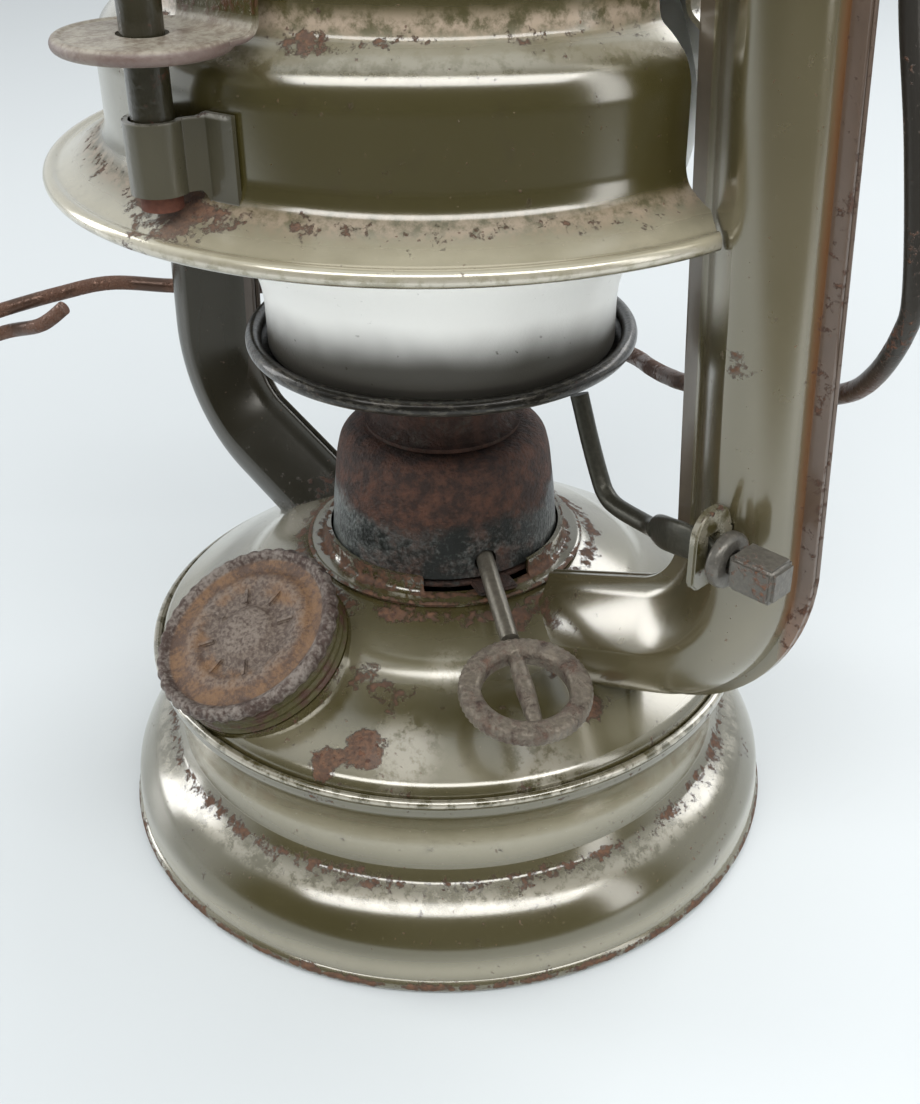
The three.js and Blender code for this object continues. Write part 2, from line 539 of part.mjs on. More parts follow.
function tubeHalf(side) {
  const outer = flank(0, tube.outerSteps)
  const inner = flank(-tin, tube.innerSteps).reverse()
  const [split, skin] = [tube.split, tube.split + tube.finThick]
  const section = fin => [at(tube.deep + fin, split), at(tube.deep + fin, skin), ...outer.map(point =>
    at(point.x, Math.max(point.y, skin))), at(-tube.deep - fin, skin), at(-tube.deep - fin, split),
  at(tin - tube.deep, split), ...inner.map(point => at(point.x, Math.max(point.y, skin))),
    at(tube.deep - tin, split)]
  const rings = tubeStations().map(({ place, out, fin }) => section(fin).map(point =>
    place.clone().addScaledVector(out, point.x).add(new THREE.Vector3(0, side * point.y, 0))))
  const outline = section(tube.fin)
  return side > 0 ? loft(rings, outline) : loft(rings.map(ring => [...ring].reverse()), outline.reverse())
}

function tubeSpace(clear) {
  const half = flank(clear, tube.outerSteps)
  const whole = fin => [at(tube.deep + fin + clear, -tube.split - tube.finThick - clear),
    at(tube.deep + fin + clear, tube.split + tube.finThick + clear), ...half,
    at(-tube.deep - fin - clear, tube.split + tube.finThick + clear),
    at(-tube.deep - fin - clear, -tube.split - tube.finThick - clear),
    ...[...half].reverse().map(point => at(point.x, -point.y))]
  const rings = tubeStations().map(({ place, out, fin }) => whole(fin).map(point =>
    place.clone().addScaledVector(out, point.x).add(new THREE.Vector3(0, point.y, 0))))
  return loft(rings, whole(tube.fin))
}

const drumLower = [at(drum.bore, drumLow), at(drum.side - drum.corner, drumLow),
  at(drum.side, drumLow + drum.corner), at(drum.side, drumSeam - drum.corner / 2),
  at(drum.seamR, drumSeam - tin / 2 - gap / 2)]
const drumUpper = [at(drum.seamR, drumSeam + tin / 2 + gap / 2), at(drum.side, drumSeam + drum.corner / 2),
  at(drum.side - drum.shoulder / 2, drumHigh - drum.corner / 2), at(drum.side - 2 * drum.shoulder, drumHigh),
  at(drum.bore, drumHigh)]
const rimHigh = skirtHigh - skirt.rimFold
const rimLow = rimHigh - skirt.rimTall
const skirtLine = [at(skirt.r, skirtLow), at(skirt.r, rimLow - skirt.flare), at(skirt.rim, rimLow),
  at(skirt.rim, rimHigh), at(skirt.hold + drum.shoulder, skirtHigh), at(skirt.hold, skirtHigh)]

function drumSpace(clear) {
  const half = tin / 2 + clear
  return turned([at(0, drumLow - half), ...outerSide(drumLower, clear), ...outerSide(drumUpper, clear),
    at(0, drumHigh + half)])
}

function skirtSpace(clear) {
  return turned([at(0, skirtLow), ...outerSide(skirtLine, clear), at(0, skirtHigh + tin / 2 + clear)])
}

function makeTubes() {
  const collarStop = new THREE.CylinderGeometry(tube.collarStop, tube.collarStop, domeHigh, roundSteps)
    .rotateX(Math.PI / 2).translate(0, 0, domeHigh)
  const stops = [domeSpace(gap), drumSpace(gap), skirtSpace(gap), collarStop]
  const half = { front: cut(tubeHalf(-1), ...stops), rear: cut(tubeHalf(1), ...stops) }
  add('tube_right_front', half.front, enamel)
  add('tube_right_rear', half.rear, enamel)
  add('tube_left_front', half.rear.clone().rotateZ(Math.PI), enamel)
  add('tube_left_rear', half.front.clone().rotateZ(Math.PI), enamel)
}

function makeCanopy() {
  const airWay = bar(new THREE.Vector3(-drum.seamR - overrun, 0, tubeTop),
    new THREE.Vector3(drum.seamR + overrun, 0, tubeTop), drum.airRadius, coarseSides)
  add('canopy_lower', cut(sheet(drumLower, middleSteps), airWay), enamel)
  add('canopy_upper', cut(sheet(drumUpper, middleSteps), airWay), enamel)
  add('canopy_skirt', sheet(skirtLine, middleSteps), darkEnamel)
  for (const [name, side] of [['bail_ear_right', 0], ['bail_ear_left', Math.PI]]) {
    const tongue = new THREE.Shape()
    const low = earZ - bailEar.below
    tongue.moveTo(-bailEar.half, low)
    tongue.lineTo(bailEar.half, low)
    tongue.lineTo(bailEar.half, earZ)
    tongue.absarc(0, earZ, bailEar.half, 0, Math.PI)
    tongue.holes.push(new THREE.Path().absarc(0, earZ, bailEar.hole, 0, 2 * Math.PI, true))
    const standing = extruded(tongue, bailEar.thick)
    standing.applyMatrix4(new THREE.Matrix4().makeBasis(new THREE.Vector3(0, 1, 0), up, new THREE.Vector3(1,
      0, 0)))
    standing.translate(earX, 0, 0)
    const foot = box(earX - bailEar.reach, earX + bailEar.thick / 2, -bailEar.half, bailEar.half, low,
      low + bailEar.half)
    add(name, cut(join(standing, foot), tubeSpace(gap)).rotateZ(side), enamel)
  }
}

// Chimney group
function makeChimney() {
  const pipeLine = [...shaped(flareShares, chimney.flareR, chimneyLow, chimney.flareTall),
    at(chimney.r, chimneyLow + chimney.neck), at(chimney.r, crownHigh - chimney.below)]
  add('chimney', sheet(pipeLine, smallSteps), darkEnamel)
  const coil = []
  const count = spring.turns * spring.steps
  for (let i = 0; i <= count; i += 1) {
    const angle = 2 * Math.PI * i / spring.steps
    coil.push([spring.radius * Math.cos(angle), spring.radius * Math.sin(angle),
      THREE.MathUtils.lerp(chimneyLow + spring.above, drumLow - spring.below, i / count)])
  }
  add('chimney_spring', wire(coil, spring.wire / 2, count, spring.sides), darkSteel)
  const bandLine = [at(crown.foot, crownLow), at(crown.waist, crownLow + crown.waistRise),
    at(crown.edge, crownHigh)]
  const vents = []
  const holeZ = crownLow + crown.holeRise
  for (let i = 0; i < crown.holes; i += 1) {
    const angle = 360 * i / crown.holes
    vents.push(bar(radial(chimney.r + tin, angle, holeZ), radial(crown.edge + overrun, angle, holeZ),
      crown.hole, crown.holeSides))
  }
  add('crown_band', cut(sheet(bandLine, middleSteps), ...vents), enamel)
  add('crown_hood', sheet(shaped(hoodShares, hood.edge, hoodLow, hood.tall), middleSteps), enamel)
  const roof = hoodLow + hood.tall + tin / 2 + staple.wire / 2
  const arch = [[0, -staple.half, roof], [0, -staple.half, roof + staple.high / 2],
    [0, 0, roof + staple.high],
    [0, staple.half, roof + staple.high / 2], [0, staple.half, roof]]
  add('ring_staple', wire(arch, staple.wire, rodSides), darkSteel)
  const hoop = new THREE.TorusGeometry(liftRing.radius, liftRing.wire, wireSides, smallSteps).translate(0,
    -liftRing.radius, 0)
  hoop.rotateX(liftRing.lie * degree).translate(0, 0, roof + staple.high - staple.wire - liftRing.wire - gap)
  add('lift_ring', hoop, darkSteel)
}

// Globe, plate and lever
const bladeRun = placed(bladeShares, fulcrumPlace.x, fulcrum.y, floorZ)

function makeGlobe() {
  const globeLine = smooth(shaped(globeShares, globe.wide, globeLow, globe.tall), globeSteps)
  add('globe', sheet(globeLine, roundSteps, 0, glass), frosted)
  const plateLine = [at(plate.rimR, floorZ + plate.rimRise), at(plate.brimR, floorZ + plate.brimRise),
    at(plate.floorR, floorZ), at(plate.hole + tin, floorZ), at(plate.hole, floorZ + plate.hub)]
  const vents = []
  for (let i = 0; i < ventRing.count; i += 1) {
    const angle = 360 * (i + 1 / 2) / ventRing.count
    vents.push(bar(radial(ventRing.r, angle, floorZ - overrun), radial(ventRing.r, angle, floorZ + overrun),
      ventRing.radius, ventRing.sides))
  }
  add('globe_plate', cut(sheet(plateLine, roundSteps, plate.bead), ...vents), darkEnamel)

  const arm = wire(placed(leverShares, fulcrumPlace.x, fulcrum.y, floorZ), lever.wire, lever.steps)
  const bladeRings = bladeRun.map((point, i) => {
    const width = i === 0 ? lever.blade * lever.tipShare : i === bladeRun.length - 1 ? lever.bladeThick
      : lever.blade
    const centre = new THREE.Vector3(...point)
    const [low, high] = [-width / 2, width / 2]
    const t = lever.bladeThick / 2
    return [[-t, low], [t, low], [t, high], [-t, high]].map(([y, z]) =>
      centre.clone().add(new THREE.Vector3(0, y, z)))
  })
  const outline = [at(0, 0), at(1, 0), at(1, 1), at(0, 1)]
  const blade = loft(bladeRings, outline)
  add('lift_lever', join(arm, blade), darkEnamel)
}

// The ear on the tube that the lever rocks in, and what is fixed on the lever's outer end
function makeFulcrum() {
  const halfX = fulcrum.thick / 2
  const { x, z } = fulcrumPlace
  const y = -fulcrum.y
  const [low, crest] = [z - fulcrum.below, z + fulcrum.above - fulcrum.half]
  const tongue = new THREE.Shape()
  tongue.moveTo(y - fulcrum.half, low)
  tongue.lineTo(y + fulcrum.half + tin, low)
  tongue.lineTo(y + fulcrum.half + tin, crest)
  tongue.lineTo(y + fulcrum.half, crest)
  tongue.absarc(y, crest, fulcrum.half, 0, Math.PI)
  const standing = extruded(tongue, fulcrum.thick)
  standing.applyMatrix4(new THREE.Matrix4().makeBasis(new THREE.Vector3(0, 1, 0), up, new THREE.Vector3(1,
    0, 0)))
  standing.translate(x - halfX, 0, 0)
  const foot = box(x - fulcrum.foot, x + halfX, y + fulcrum.half - tin, y + fulcrum.footDeep, low, crest)
  const slot = box(x - overrun, x + overrun, y - fulcrum.slotWide, y + fulcrum.slotWide,
    z - fulcrum.slotHigh, z + fulcrum.slotHigh)
  add('lever_bracket', cut(join(standing, foot), tubeSpace(gap), slot), enamel)

  const centre = new THREE.Vector3(x + lever.washerOut, bladeRun.at(-1)[1], bladeRun.at(-1)[2])
  const washer = new THREE.Shape().absarc(0, 0, lever.washer, 0, 2 * Math.PI)
  washer.holes.push(new THREE.Path().absarc(0, 0, lever.bore, 0, 2 * Math.PI, true))
  add('lever_washer', extruded(washer, lever.washerThick).rotateY(Math.PI / 2).translate(...centre.toArray()),
    darkSteel)
  const half = lever.tab / 2
  const tabX = x + lever.tabOut
  add('lever_tab', box(tabX, tabX + lever.tabLong, centre.y - half, centre.y + half, centre.z - half,
    centre.z + half), darkSteel)
}

// Blackout shroud and its guide
const shroudLine = [...spread(brimShares, shroud.wall, shroud.brim, shroud.low, shroud.brimTall),
  ...spread(shoulderShares, neckR, shroud.wall, shoulderLow, shroud.shoulderTall),
  at(neckR, shoulderLow + shroud.shoulderTall + shroud.neckTall)]

function makeShroud() {
  const slots = [1, -1].map(side => box(side > 0 ? skirt.r : -shroud.brim, side > 0 ? shroud.brim : -skirt.r,
    -shroudSlot.half, shroudSlot.half, shroud.low - overrun, shroud.low + shroudSlot.tall))
  const tubes = [tubeSpace(tubeClear), tubeSpace(tubeClear).rotateZ(Math.PI)]
  add('shroud', cut(sheet(shroudLine, roundSteps, shroud.bead), ...slots, ...tubes), enamel)

  const place = new THREE.Group()
  place.rotation.z = guide.angle * degree + Math.PI / 2
  lantern.add(place)
  const rodCentre = new THREE.Vector3(0, -guideR, 0)
  const rise = z => rodCentre.clone().setZ(z)
  const body = turned(sheetOutline(shroudLine, tin + 2 * gap, shroud.bead)).rotateZ(-place.rotation.z)
  add('guide_rod', cut(bar(rise(guideLow), rise(guideTop), guide.rod, rodSides), body), enamel, place)
  const nutBore = guide.rod + gap
  const nutTop = guideTop + guide.nutOver
  const nutLow = guideTop - guide.nutUnder
  const nut = [at(nutBore, nutLow), at(guide.nut, nutLow), at(guide.nut, guideTop - gap),
    at(guide.nut / 2, nutTop), at(0, nutTop), at(0, guideTop + gap), at(nutBore, guideTop + gap)]
  add('guide_rod_nut', turned(nut, rodSides).translate(0, -guideR, 0), darkSteel, place)

  const sleeveR = nutBore + strap.wall
  const sleeveLow = shroud.low + strap.low
  const sleeve = new THREE.Shape().absarc(0, 0, sleeveR, 0, 2 * Math.PI)
  sleeve.holes.push(new THREE.Path().absarc(0, 0, nutBore, 0, 2 * Math.PI, true))
  const pipe = extruded(sleeve, strap.tall).translate(0, -guideR, sleeveLow)
  const wallOut = shroud.wall + tin / 2 + gap
  const [from, to] = [-Math.PI / 2 - strap.before * degree, -Math.PI / 2 + strap.after * degree]
  const arc = new THREE.Shape().absarc(0, 0, wallOut + tin, from, to, false)
  arc.absarc(0, 0, wallOut, to, from, true)
  const band = extruded(arc, strap.bandTall).translate(0, 0, shroud.low + strap.bandLow)
  const root = box(-sleeveR / 2, sleeveR, -guideR + nutBore, -wallOut - gap, sleeveLow,
    sleeveLow + strap.tall)
  add('guide_strap', cut(join(pipe, band, root), body), enamel, place)

  const disc = new THREE.Shape()
  const legR = skirt.rim + ear.legRoom
  const earLow = shroud.low + ear.rise
  const spreadAngle = Math.acos((guideR - legR) / ear.deep)
  disc.absellipse(0, -guideR, ear.radius, ear.deep, Math.PI / 2 + spreadAngle,
    Math.PI / 2 - spreadAngle + 2 * Math.PI, false, 0)
  disc.holes.push(new THREE.Path().absarc(0, -guideR, nutBore, 0, 2 * Math.PI, true))
  const leg = box(ear.legShift - ear.legWidth / 2, ear.legShift + ear.legWidth / 2, -legR - ear.thick, -legR,
    earLow, rimHigh)
  add('guide_ear', join(extruded(disc, ear.thick).translate(0, 0, earLow), leg), enamel, place)
}

function makeBail() {
  add('bail', wire(placed(bailShares, earX, earX, earZ), bailWire, bailSteps), darkSteel)
}

makeTank()
makeFiller()
makeBurner()
makeTubes()
makeCanopy()
makeChimney()
makeGlobe()
makeFulcrum()
makeShroud()
makeBail()

export default lantern
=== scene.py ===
import math
from contextlib import contextmanager

import bmesh
import bpy
from mathutils import Matrix, Vector


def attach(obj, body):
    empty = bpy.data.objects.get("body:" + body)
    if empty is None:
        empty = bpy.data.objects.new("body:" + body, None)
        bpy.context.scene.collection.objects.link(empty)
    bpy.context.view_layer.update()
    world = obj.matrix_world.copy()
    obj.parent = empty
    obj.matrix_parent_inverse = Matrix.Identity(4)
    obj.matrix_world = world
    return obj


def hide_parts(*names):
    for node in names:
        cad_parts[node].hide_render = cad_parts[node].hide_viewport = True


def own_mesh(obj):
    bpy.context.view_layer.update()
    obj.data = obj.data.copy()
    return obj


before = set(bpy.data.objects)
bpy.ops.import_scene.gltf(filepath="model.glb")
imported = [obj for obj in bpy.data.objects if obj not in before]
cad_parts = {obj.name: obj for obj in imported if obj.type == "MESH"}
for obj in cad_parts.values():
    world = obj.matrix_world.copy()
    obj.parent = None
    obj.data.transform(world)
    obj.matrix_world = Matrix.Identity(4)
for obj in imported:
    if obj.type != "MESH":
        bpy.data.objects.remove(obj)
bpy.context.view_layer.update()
print("frame loaded,", len(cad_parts), "nodes")

# Shapes are worked out in millimetres and brought to metres by finishPiece.
mm = 0.001
tin = 0.8
roundSteps = 160
beadSteps = 18
up = Vector((0, 0, 1))


# Outlines in radius and height

def smoothLine(points, per=6):
    # a Catmull-Rom line through the points
    points = [Vector(p) for p in points]
    line = []
    for i in range(len(points) - 1):
        a, b = points[i], points[i + 1]
        before = points[i - 1] if i else a * 2 - b
        after = points[i + 2] if i + 2 < len(points) else b * 2 - a
        for k in range(per):
            t = k / per
            line.append(0.5 * (2 * a + (b - before) * t + (2 * before - 5 * a + 4 * b - after) * t * t
                               + (3 * a - before - 3 * b + after) * t ** 3))
    return line + [points[-1]]


def eased(points, radius, steps=5):
    # rounds each corner of a line by at most the radius
    points = [Vector(p) for p in points]
    line = [points[0]]
    for before, corner, after in zip(points, points[1:], points[2:]):
        back, ahead = before - corner, after - corner
        reach = min(radius, back.length * 0.45, ahead.length * 0.45)
        start, end = corner + back.normalized() * reach, corner + ahead.normalized() * reach
        for k in range(steps + 1):
            t = k / steps
            line.append(start * (1 - t) ** 2 + corner * 2 * t * (1 - t) + end * t * t)
    return line + [points[-1]]


def sheetOutline(line, thick=tin, bead=0, beadEnd=0):
    # the closed outline of a sheet from its middle line, with a rolled bead at its start or end
    line = [Vector(p) for p in line]
    left, right = [], []
    for i, point in enumerate(line):
        along = (line[min(i + 1, len(line) - 1)] - line[max(i - 1, 0)]).normalized()
        normal = Vector((-along.y, along.x))
        left.append(point + normal * thick / 2)
        right.append(point - normal * thick / 2)

    def roll(centre, heading, size):
        opening = math.asin(thick / 2 / size) + 0.15
        turn = 2 * math.pi - 2 * opening
        angles = [heading + opening + turn * k / beadSteps for k in range(beadSteps + 1)]
        return [centre + Vector((math.cos(a), math.sin(a))) * size for a in angles]

    if bead:
        toward = line[1] - line[0]
        start = roll(line[0], math.atan2(toward.y, toward.x), bead)
        left, right = left[1:], right[1:]
    else:
        start = []
    if beadEnd:
        toward = line[-2] - line[-1]
        end = roll(line[-1], math.atan2(toward.y, toward.x), beadEnd)
        left, right = left[:-1], right[:-1]
    else:
        end = []
    return start + right + end + left[::-1]


# Mesh makers

@contextmanager
def editing(mesh):
    build = bmesh.new()
    build.from_mesh(mesh)
    yield build
    build.to_mesh(mesh)
    build.free()


def cutFlat(build, place, outward):
    # takes off what lies beyond a plane and closes the cut
    bmesh.ops.bisect_plane(build, geom=build.verts[:] + build.edges[:] + build.faces[:], plane_co=place,
                           plane_no=outward, clear_outer=True)
    bmesh.ops.holes_fill(build, edges=[e for e in build.edges if e.is_boundary], sides=0)
    bmesh.ops.recalc_face_normals(build, faces=build.faces)


def meshFrom(vertices, faces, slim=False):
    mesh = bpy.data.meshes.new("mesh")
    mesh.from_pydata([tuple(v) for v in vertices], [], faces)
    with editing(mesh) as build:
        bmesh.ops.remove_doubles(build, verts=build.verts, dist=1e-4)
        if slim:
            bmesh.ops.dissolve_degenerate(build, edges=build.edges, dist=1e-5)
        bmesh.ops.recalc_face_normals(build, faces=build.faces)
    return mesh


def turned(outline, steps=roundSteps, ripple=None):
    # turns a closed outline round Z; ripple(angle, radius, height) gives a new radius
    vertices, faces = [], []
    count = len(outline)
    for i in range(steps):
        angle = 2 * math.pi * i / steps
        for point in outline:
            r = max(point[0], 0)
            if ripple:
                r = ripple(angle, r, point[1])
            vertices.append((r * math.cos(angle), r * math.sin(angle), point[1]))
    for i in range(steps):
        for j in range(count):
            a, b = i * count + j, i * count + (j + 1) % count
            c, d = ((i + 1) % steps) * count + (j + 1) % count, ((i + 1) % steps) * count + j
            faces.append((a, b, c, d))
    return meshFrom(vertices, faces, slim=True)


def sheet(line, radius, steps=roundSteps, bead=0):
    # tin turned round Z from its eased middle line
    return turned(sheetOutline(eased(line, radius), tin, bead), steps)


def lofted(rings):
    # joins closed rings of points and closes both ends
    count = len(rings[0])
    vertices = [p for ring in rings for p in ring]
    faces = [(i * count + j, i * count + (j + 1) % count, (i + 1) * count + (j + 1) % count,
              (i + 1) * count + j) for i in range(len(rings) - 1) for j in range(count)]
    last = (len(rings) - 1) * count
    faces += [tuple(range(count))[::-1], tuple(range(last, last + count))]
    return meshFrom(vertices, faces)


def pressed(outline, low, high):
    # a closed flat outline made solid from low to high along Z
    return lofted([[Vector((p[0], p[1], z)) for p in outline] for z in (low, high)])


def edged(mesh, width, segments=2, angle=40):
    # rounds the sharp edges of a small mesh
    with editing(mesh) as build:
        edges = [e for e in build.edges
                 if len(e.link_faces) == 2 and e.calc_face_angle(0) > math.radians(angle)]
        bmesh.ops.bevel(build, geom=edges, offset=width, segments=segments, affect="EDGES",
                        clamp_overlap=True)
    return mesh


def together(*meshes):
    joined = bpy.data.meshes.new("mesh")
    with editing(joined) as build:
        for mesh in meshes:
            build.from_mesh(mesh)
    return joined


def shown(data, name=None):
    # an object in the scene, named like its data where nothing else is said
    obj = bpy.data.objects.new(name or data.name, data)
    bpy.context.scene.collection.objects.link(obj)
    return obj


def evaluated(obj):
    # what the object's modifiers make of it, as a plain mesh; the object goes
    graph = bpy.context.evaluated_depsgraph_get()
    mesh = bpy.data.meshes.new_from_object(obj.evaluated_get(graph))
    bpy.data.objects.remove(obj)
    return mesh


def cutAway(mesh, *tools):
    # takes the tools' solids away from the mesh
    target = shown(mesh)
    cutters = [shown(tool) for tool in tools]
    for cutter in cutters:
        modifier = target.modifiers.new("cut", "BOOLEAN")
        modifier.operation, modifier.solver, modifier.object = "DIFFERENCE", "EXACT", cutter
    bpy.context.view_layer.update()
    result = evaluated(target)
    for cutter in cutters:
        bpy.data.objects.remove(cutter)
    return result


def rod(start, end, radius, sides=32):
    start, end = Vector(start), Vector(end)
    turn = up.rotation_difference((end - start).normalized()).to_matrix()
    circle = [turn @ at(radius, 360 * k / sides, 0) for k in range(sides)]
    return lofted([[centre + point for point in circle] for centre in (start, end)])


def at(r, angle, z):
    return Vector((r * math.cos(math.radians(angle)), r * math.sin(math.radians(angle)), z))


def archOver(across, height, radius, steps):
    # half a circle over a place in a flat outline
    angles = [math.pi * k / steps for k in range(steps + 1)]
    return [Vector((across + radius * math.cos(a), height + radius * math.sin(a))) for a in angles]


def turnedRound(mesh, angle):
    mesh.transform(Matrix.Rotation(math.radians(angle), 4, "Z"))
    return mesh


def stood(mesh, x):
    # a flat outline drawn in Y and Z stands at x
    mesh.transform(Matrix(((0, 0, 1, x), (1, 0, 0, 0), (0, 1, 0, 0), (0, 0, 0, 1))))
    return mesh


def block(low, high):
    (x0, y0, z0), (x1, y1, z1) = low, high
    return pressed([(x0, y0), (x1, y0), (x1, y1), (x0, y1)], z0, z1)


# Nodes

def setInput(tree, entry, value):
    # takes a value, a Channel, a socket or a node, whose first output counts
    if isinstance(value, bpy.types.Node):
        value = value.outputs[0]
    value = getattr(value, "socket", value)
    if isinstance(value, bpy.types.NodeSocket):
        tree.links.new(value, entry)
    else:
        entry.default_value = (*value, 1) if entry.type == "RGBA" else value


def addNode(tree, kind, settings=None, inputs=None):
    node = tree.nodes.new(kind)
    for key, value in (settings or {}).items():
        setattr(node, key, value)
    for key, value in (inputs or {}).items():
        setInput(tree, node.inputs[key], value)
    return node


def newTree(name, sizes):
    tree = bpy.data.node_groups.new(name, "GeometryNodeTree")
    tree.interface.new_socket("Geometry", in_out="INPUT", socket_type="NodeSocketGeometry")
    for label, kind in sizes.items():
        tree.interface.new_socket(label, in_out="INPUT", socket_type="NodeSocket" + kind)
    tree.interface.new_socket("Geometry", in_out="OUTPUT", socket_type="NodeSocketGeometry")
    return tree, tree.nodes.new("NodeGroupInput").outputs


def finishTree(tree, geometry):
    real = addNode(tree, "GeometryNodeRealizeInstances", inputs={0: geometry})
    painted = addNode(tree, "GeometryNodeSetMaterial", inputs={
        "Geometry": real, "Material": tree.nodes["Group Input"].outputs["Material"]})
    addNode(tree, "NodeGroupOutput", inputs={0: painted})


def wireTree():
    # a round wire along a curve
    tree, given = newTree("bentWire", {"Radius": "Float", "Sides": "Int", "Steps": "Int",
                                       "Material": "Material"})
    flowing = addNode(tree, "GeometryNodeCurveSplineType", {"spline_type": "CATMULL_ROM"},
                      {"Curve": given["Geometry"]})
    even = addNode(tree, "GeometryNodeResampleCurve", inputs={"Curve": flowing, "Count": given["Steps"]})
    profile = addNode(tree, "GeometryNodeCurvePrimitiveCircle", inputs={
        "Resolution": given["Sides"], "Radius": given["Radius"]})
    finishTree(tree, addNode(tree, "GeometryNodeCurveToMesh", inputs={
        "Curve": even, "Profile Curve": profile, "Fill Caps": True}))
    return tree


def repeatTree():
    # the object's own mesh set round a circle, turned outwards
    tree, given = newTree("setRound", {"Count": "Int", "Radius": "Float", "Material": "Material"})
    ring = addNode(tree, "GeometryNodeMeshCircle", inputs={
        "Vertices": given["Count"], "Radius": given["Radius"]})
    index = Channel(tree, tree.nodes.new("GeometryNodeInputIndex").outputs[0])
    turn = index / Channel(tree, given["Count"]) * (2 * math.pi)
    angles = addNode(tree, "ShaderNodeCombineXYZ", inputs={"Z": turn})
    finishTree(tree, addNode(tree, "GeometryNodeInstanceOnPoints", inputs={
        "Points": ring, "Instance": given["Geometry"], "Rotation": angles}))
    return tree


def grown(obj, tree, sizes):
    # runs a tree on an object with named sizes and gives the plain mesh
    modifier = obj.modifiers.new("shape", "NODES")
    modifier.node_group = tree
    names = {item.name: item.identifier for item in tree.interface.items_tree if item.in_out == "INPUT"}
    for label, value in sizes.items():
        modifier[names[label]] = value
    obj.update_tag()
    bpy.context.view_layer.update()
    return evaluated(obj)


def wire(points, radius, material, steps=160, sides=16, closed=False):
    curve = bpy.data.curves.new("wire", "CURVE")
    curve.dimensions = "3D"
    spline = curve.splines.new("POLY")
    spline.points.add(len(points) - 1)
    for target, point in zip(spline.points, points):
        target.co = (*point, 1)
    spline.use_cyclic_u = closed
    return grown(shown(curve), bentWire, {"Radius": radius, "Sides": sides, "Steps": steps,
                                          "Material": material})


def around(mesh, count, radius):
    return grown(shown(mesh), setRound, {"Count": count, "Radius": radius})


def operation(name, flipped=False):
    # a maths node of a Channel with another Channel or a number
    def combined(self, other=0):
        pair = (other, self) if flipped else (self, other)
        node = addNode(self.tree, "ShaderNodeMath", {"operation": name}, dict(enumerate(pair)))
        return Channel(self.tree, node.outputs[0])
    return combined


class Channel:
    # wraps a socket, so node maths reads as arithmetic
    def __init__(self, tree, socket):
        self.tree, self.socket = tree, socket

    __add__, __radd__ = operation("ADD"), operation("ADD", True)
    __sub__, __rsub__ = operation("SUBTRACT"), operation("SUBTRACT", True)
    __mul__, __rmul__ = operation("MULTIPLY"), operation("MULTIPLY", True)
    __truediv__, __pow__ = operation("DIVIDE"), operation("POWER")
    most, least, size = operation("MAXIMUM"), operation("MINIMUM"), operation("ABSOLUTE")


def smoothStep(tree, value, low, high):
    # 0 at low and 1 at high, whichever is the larger
    node = addNode(tree, "ShaderNodeMapRange", {"interpolation_type": "SMOOTHSTEP"}, {
        "Value": value, "From Min": low, "From Max": high})
    return Channel(tree, node.outputs[0])


bentWire, setRound = wireTree(), repeatTree()


# Materials

class Finish:
    # one material's node tree, with the places of a surface in millimetres
    def __init__(self, name):
        self.material = bpy.data.materials.new(name)
        self.material.use_nodes = True
        self.tree = self.material.node_tree
        self.shader = self.tree.nodes["Principled BSDF"]
        spot = self.tree.nodes.new("ShaderNodeTexCoord").outputs["Object"]
        self.place = self.node("ShaderNodeVectorMath", {"operation": "SCALE"}, {0: spot, "Scale": 1 / mm})
        parts = self.node("ShaderNodeSeparateXYZ", {}, {0: self.place})
        self.x, self.y, self.z = (Channel(self.tree, parts.outputs[i]) for i in range(3))
        self.r = (self.x * self.x + self.y * self.y) ** 0.5

    def node(self, kind, settings, inputs):
        return addNode(self.tree, kind, settings, inputs)

    def noise(self, grain, detail=4, rough=0.55, stretch=(1, 1, 1), shift=0):
        # grain is the size of the spots in millimetres
        spot = self.node("ShaderNodeMapping", {}, {
            0: self.place, "Scale": stretch, "Location": (shift, shift, shift)})
        return Channel(self.tree, self.node("ShaderNodeTexNoise", {}, {
            "Vector": spot, "Scale": 1 / grain, "Detail": detail, "Roughness": rough}).outputs["Fac"])

    def step(self, value, low, high):
        return smoothStep(self.tree, value, low, high)

    def band(self, value, centre, width):
        # 1 at the centre, falling to 0 at the width from it
        return self.step((value - centre).size(), width, 0)

    def bands(self, value, places, total=0):
        # the sum of bands given as (centre, width, amount)
        for centre, width, amount in places:
            total = self.band(value, centre, width) * amount + total
        return total

    def apart(self, centre):
        node = self.node("ShaderNodeVectorMath", {"operation": "DISTANCE"}, {0: self.place, 1: centre})
        return Channel(self.tree, node.outputs["Value"])

    def spots(self, places, total=0):
        # the sum of round spots given as (centre, radius, amount)
        for centre, radius, amount in places:
            total = self.step(self.apart(centre), radius, radius * 0.25) * amount + total
        return total

    def blend(self, amount, first, second):
        mixed = self.node("ShaderNodeMix", {"data_type": "RGBA"}, {0: amount})
        for index, value in ((6, first), (7, second)):
            setInput(self.tree, mixed.inputs[index], value)
        return Channel(self.tree, mixed.outputs[2])

    def brown(self, fine, low=0.35):
        return self.blend(self.step(fine, low, 0.7), paint["rust"], paint["rustBright"])

    def level(self, amount, first, second):
        return amount * (second - first) + first

    def bump(self, height, depth):
        node = self.node("ShaderNodeBump", {}, {"Height": height, "Distance": depth * mm, "Strength": 1.0})
        return Channel(self.tree, node.outputs[0])

    def done(self, **sockets):
        for key, value in sockets.items():
            setInput(self.tree, self.shader.inputs[key.replace("_", " ")], value)
        return self.material


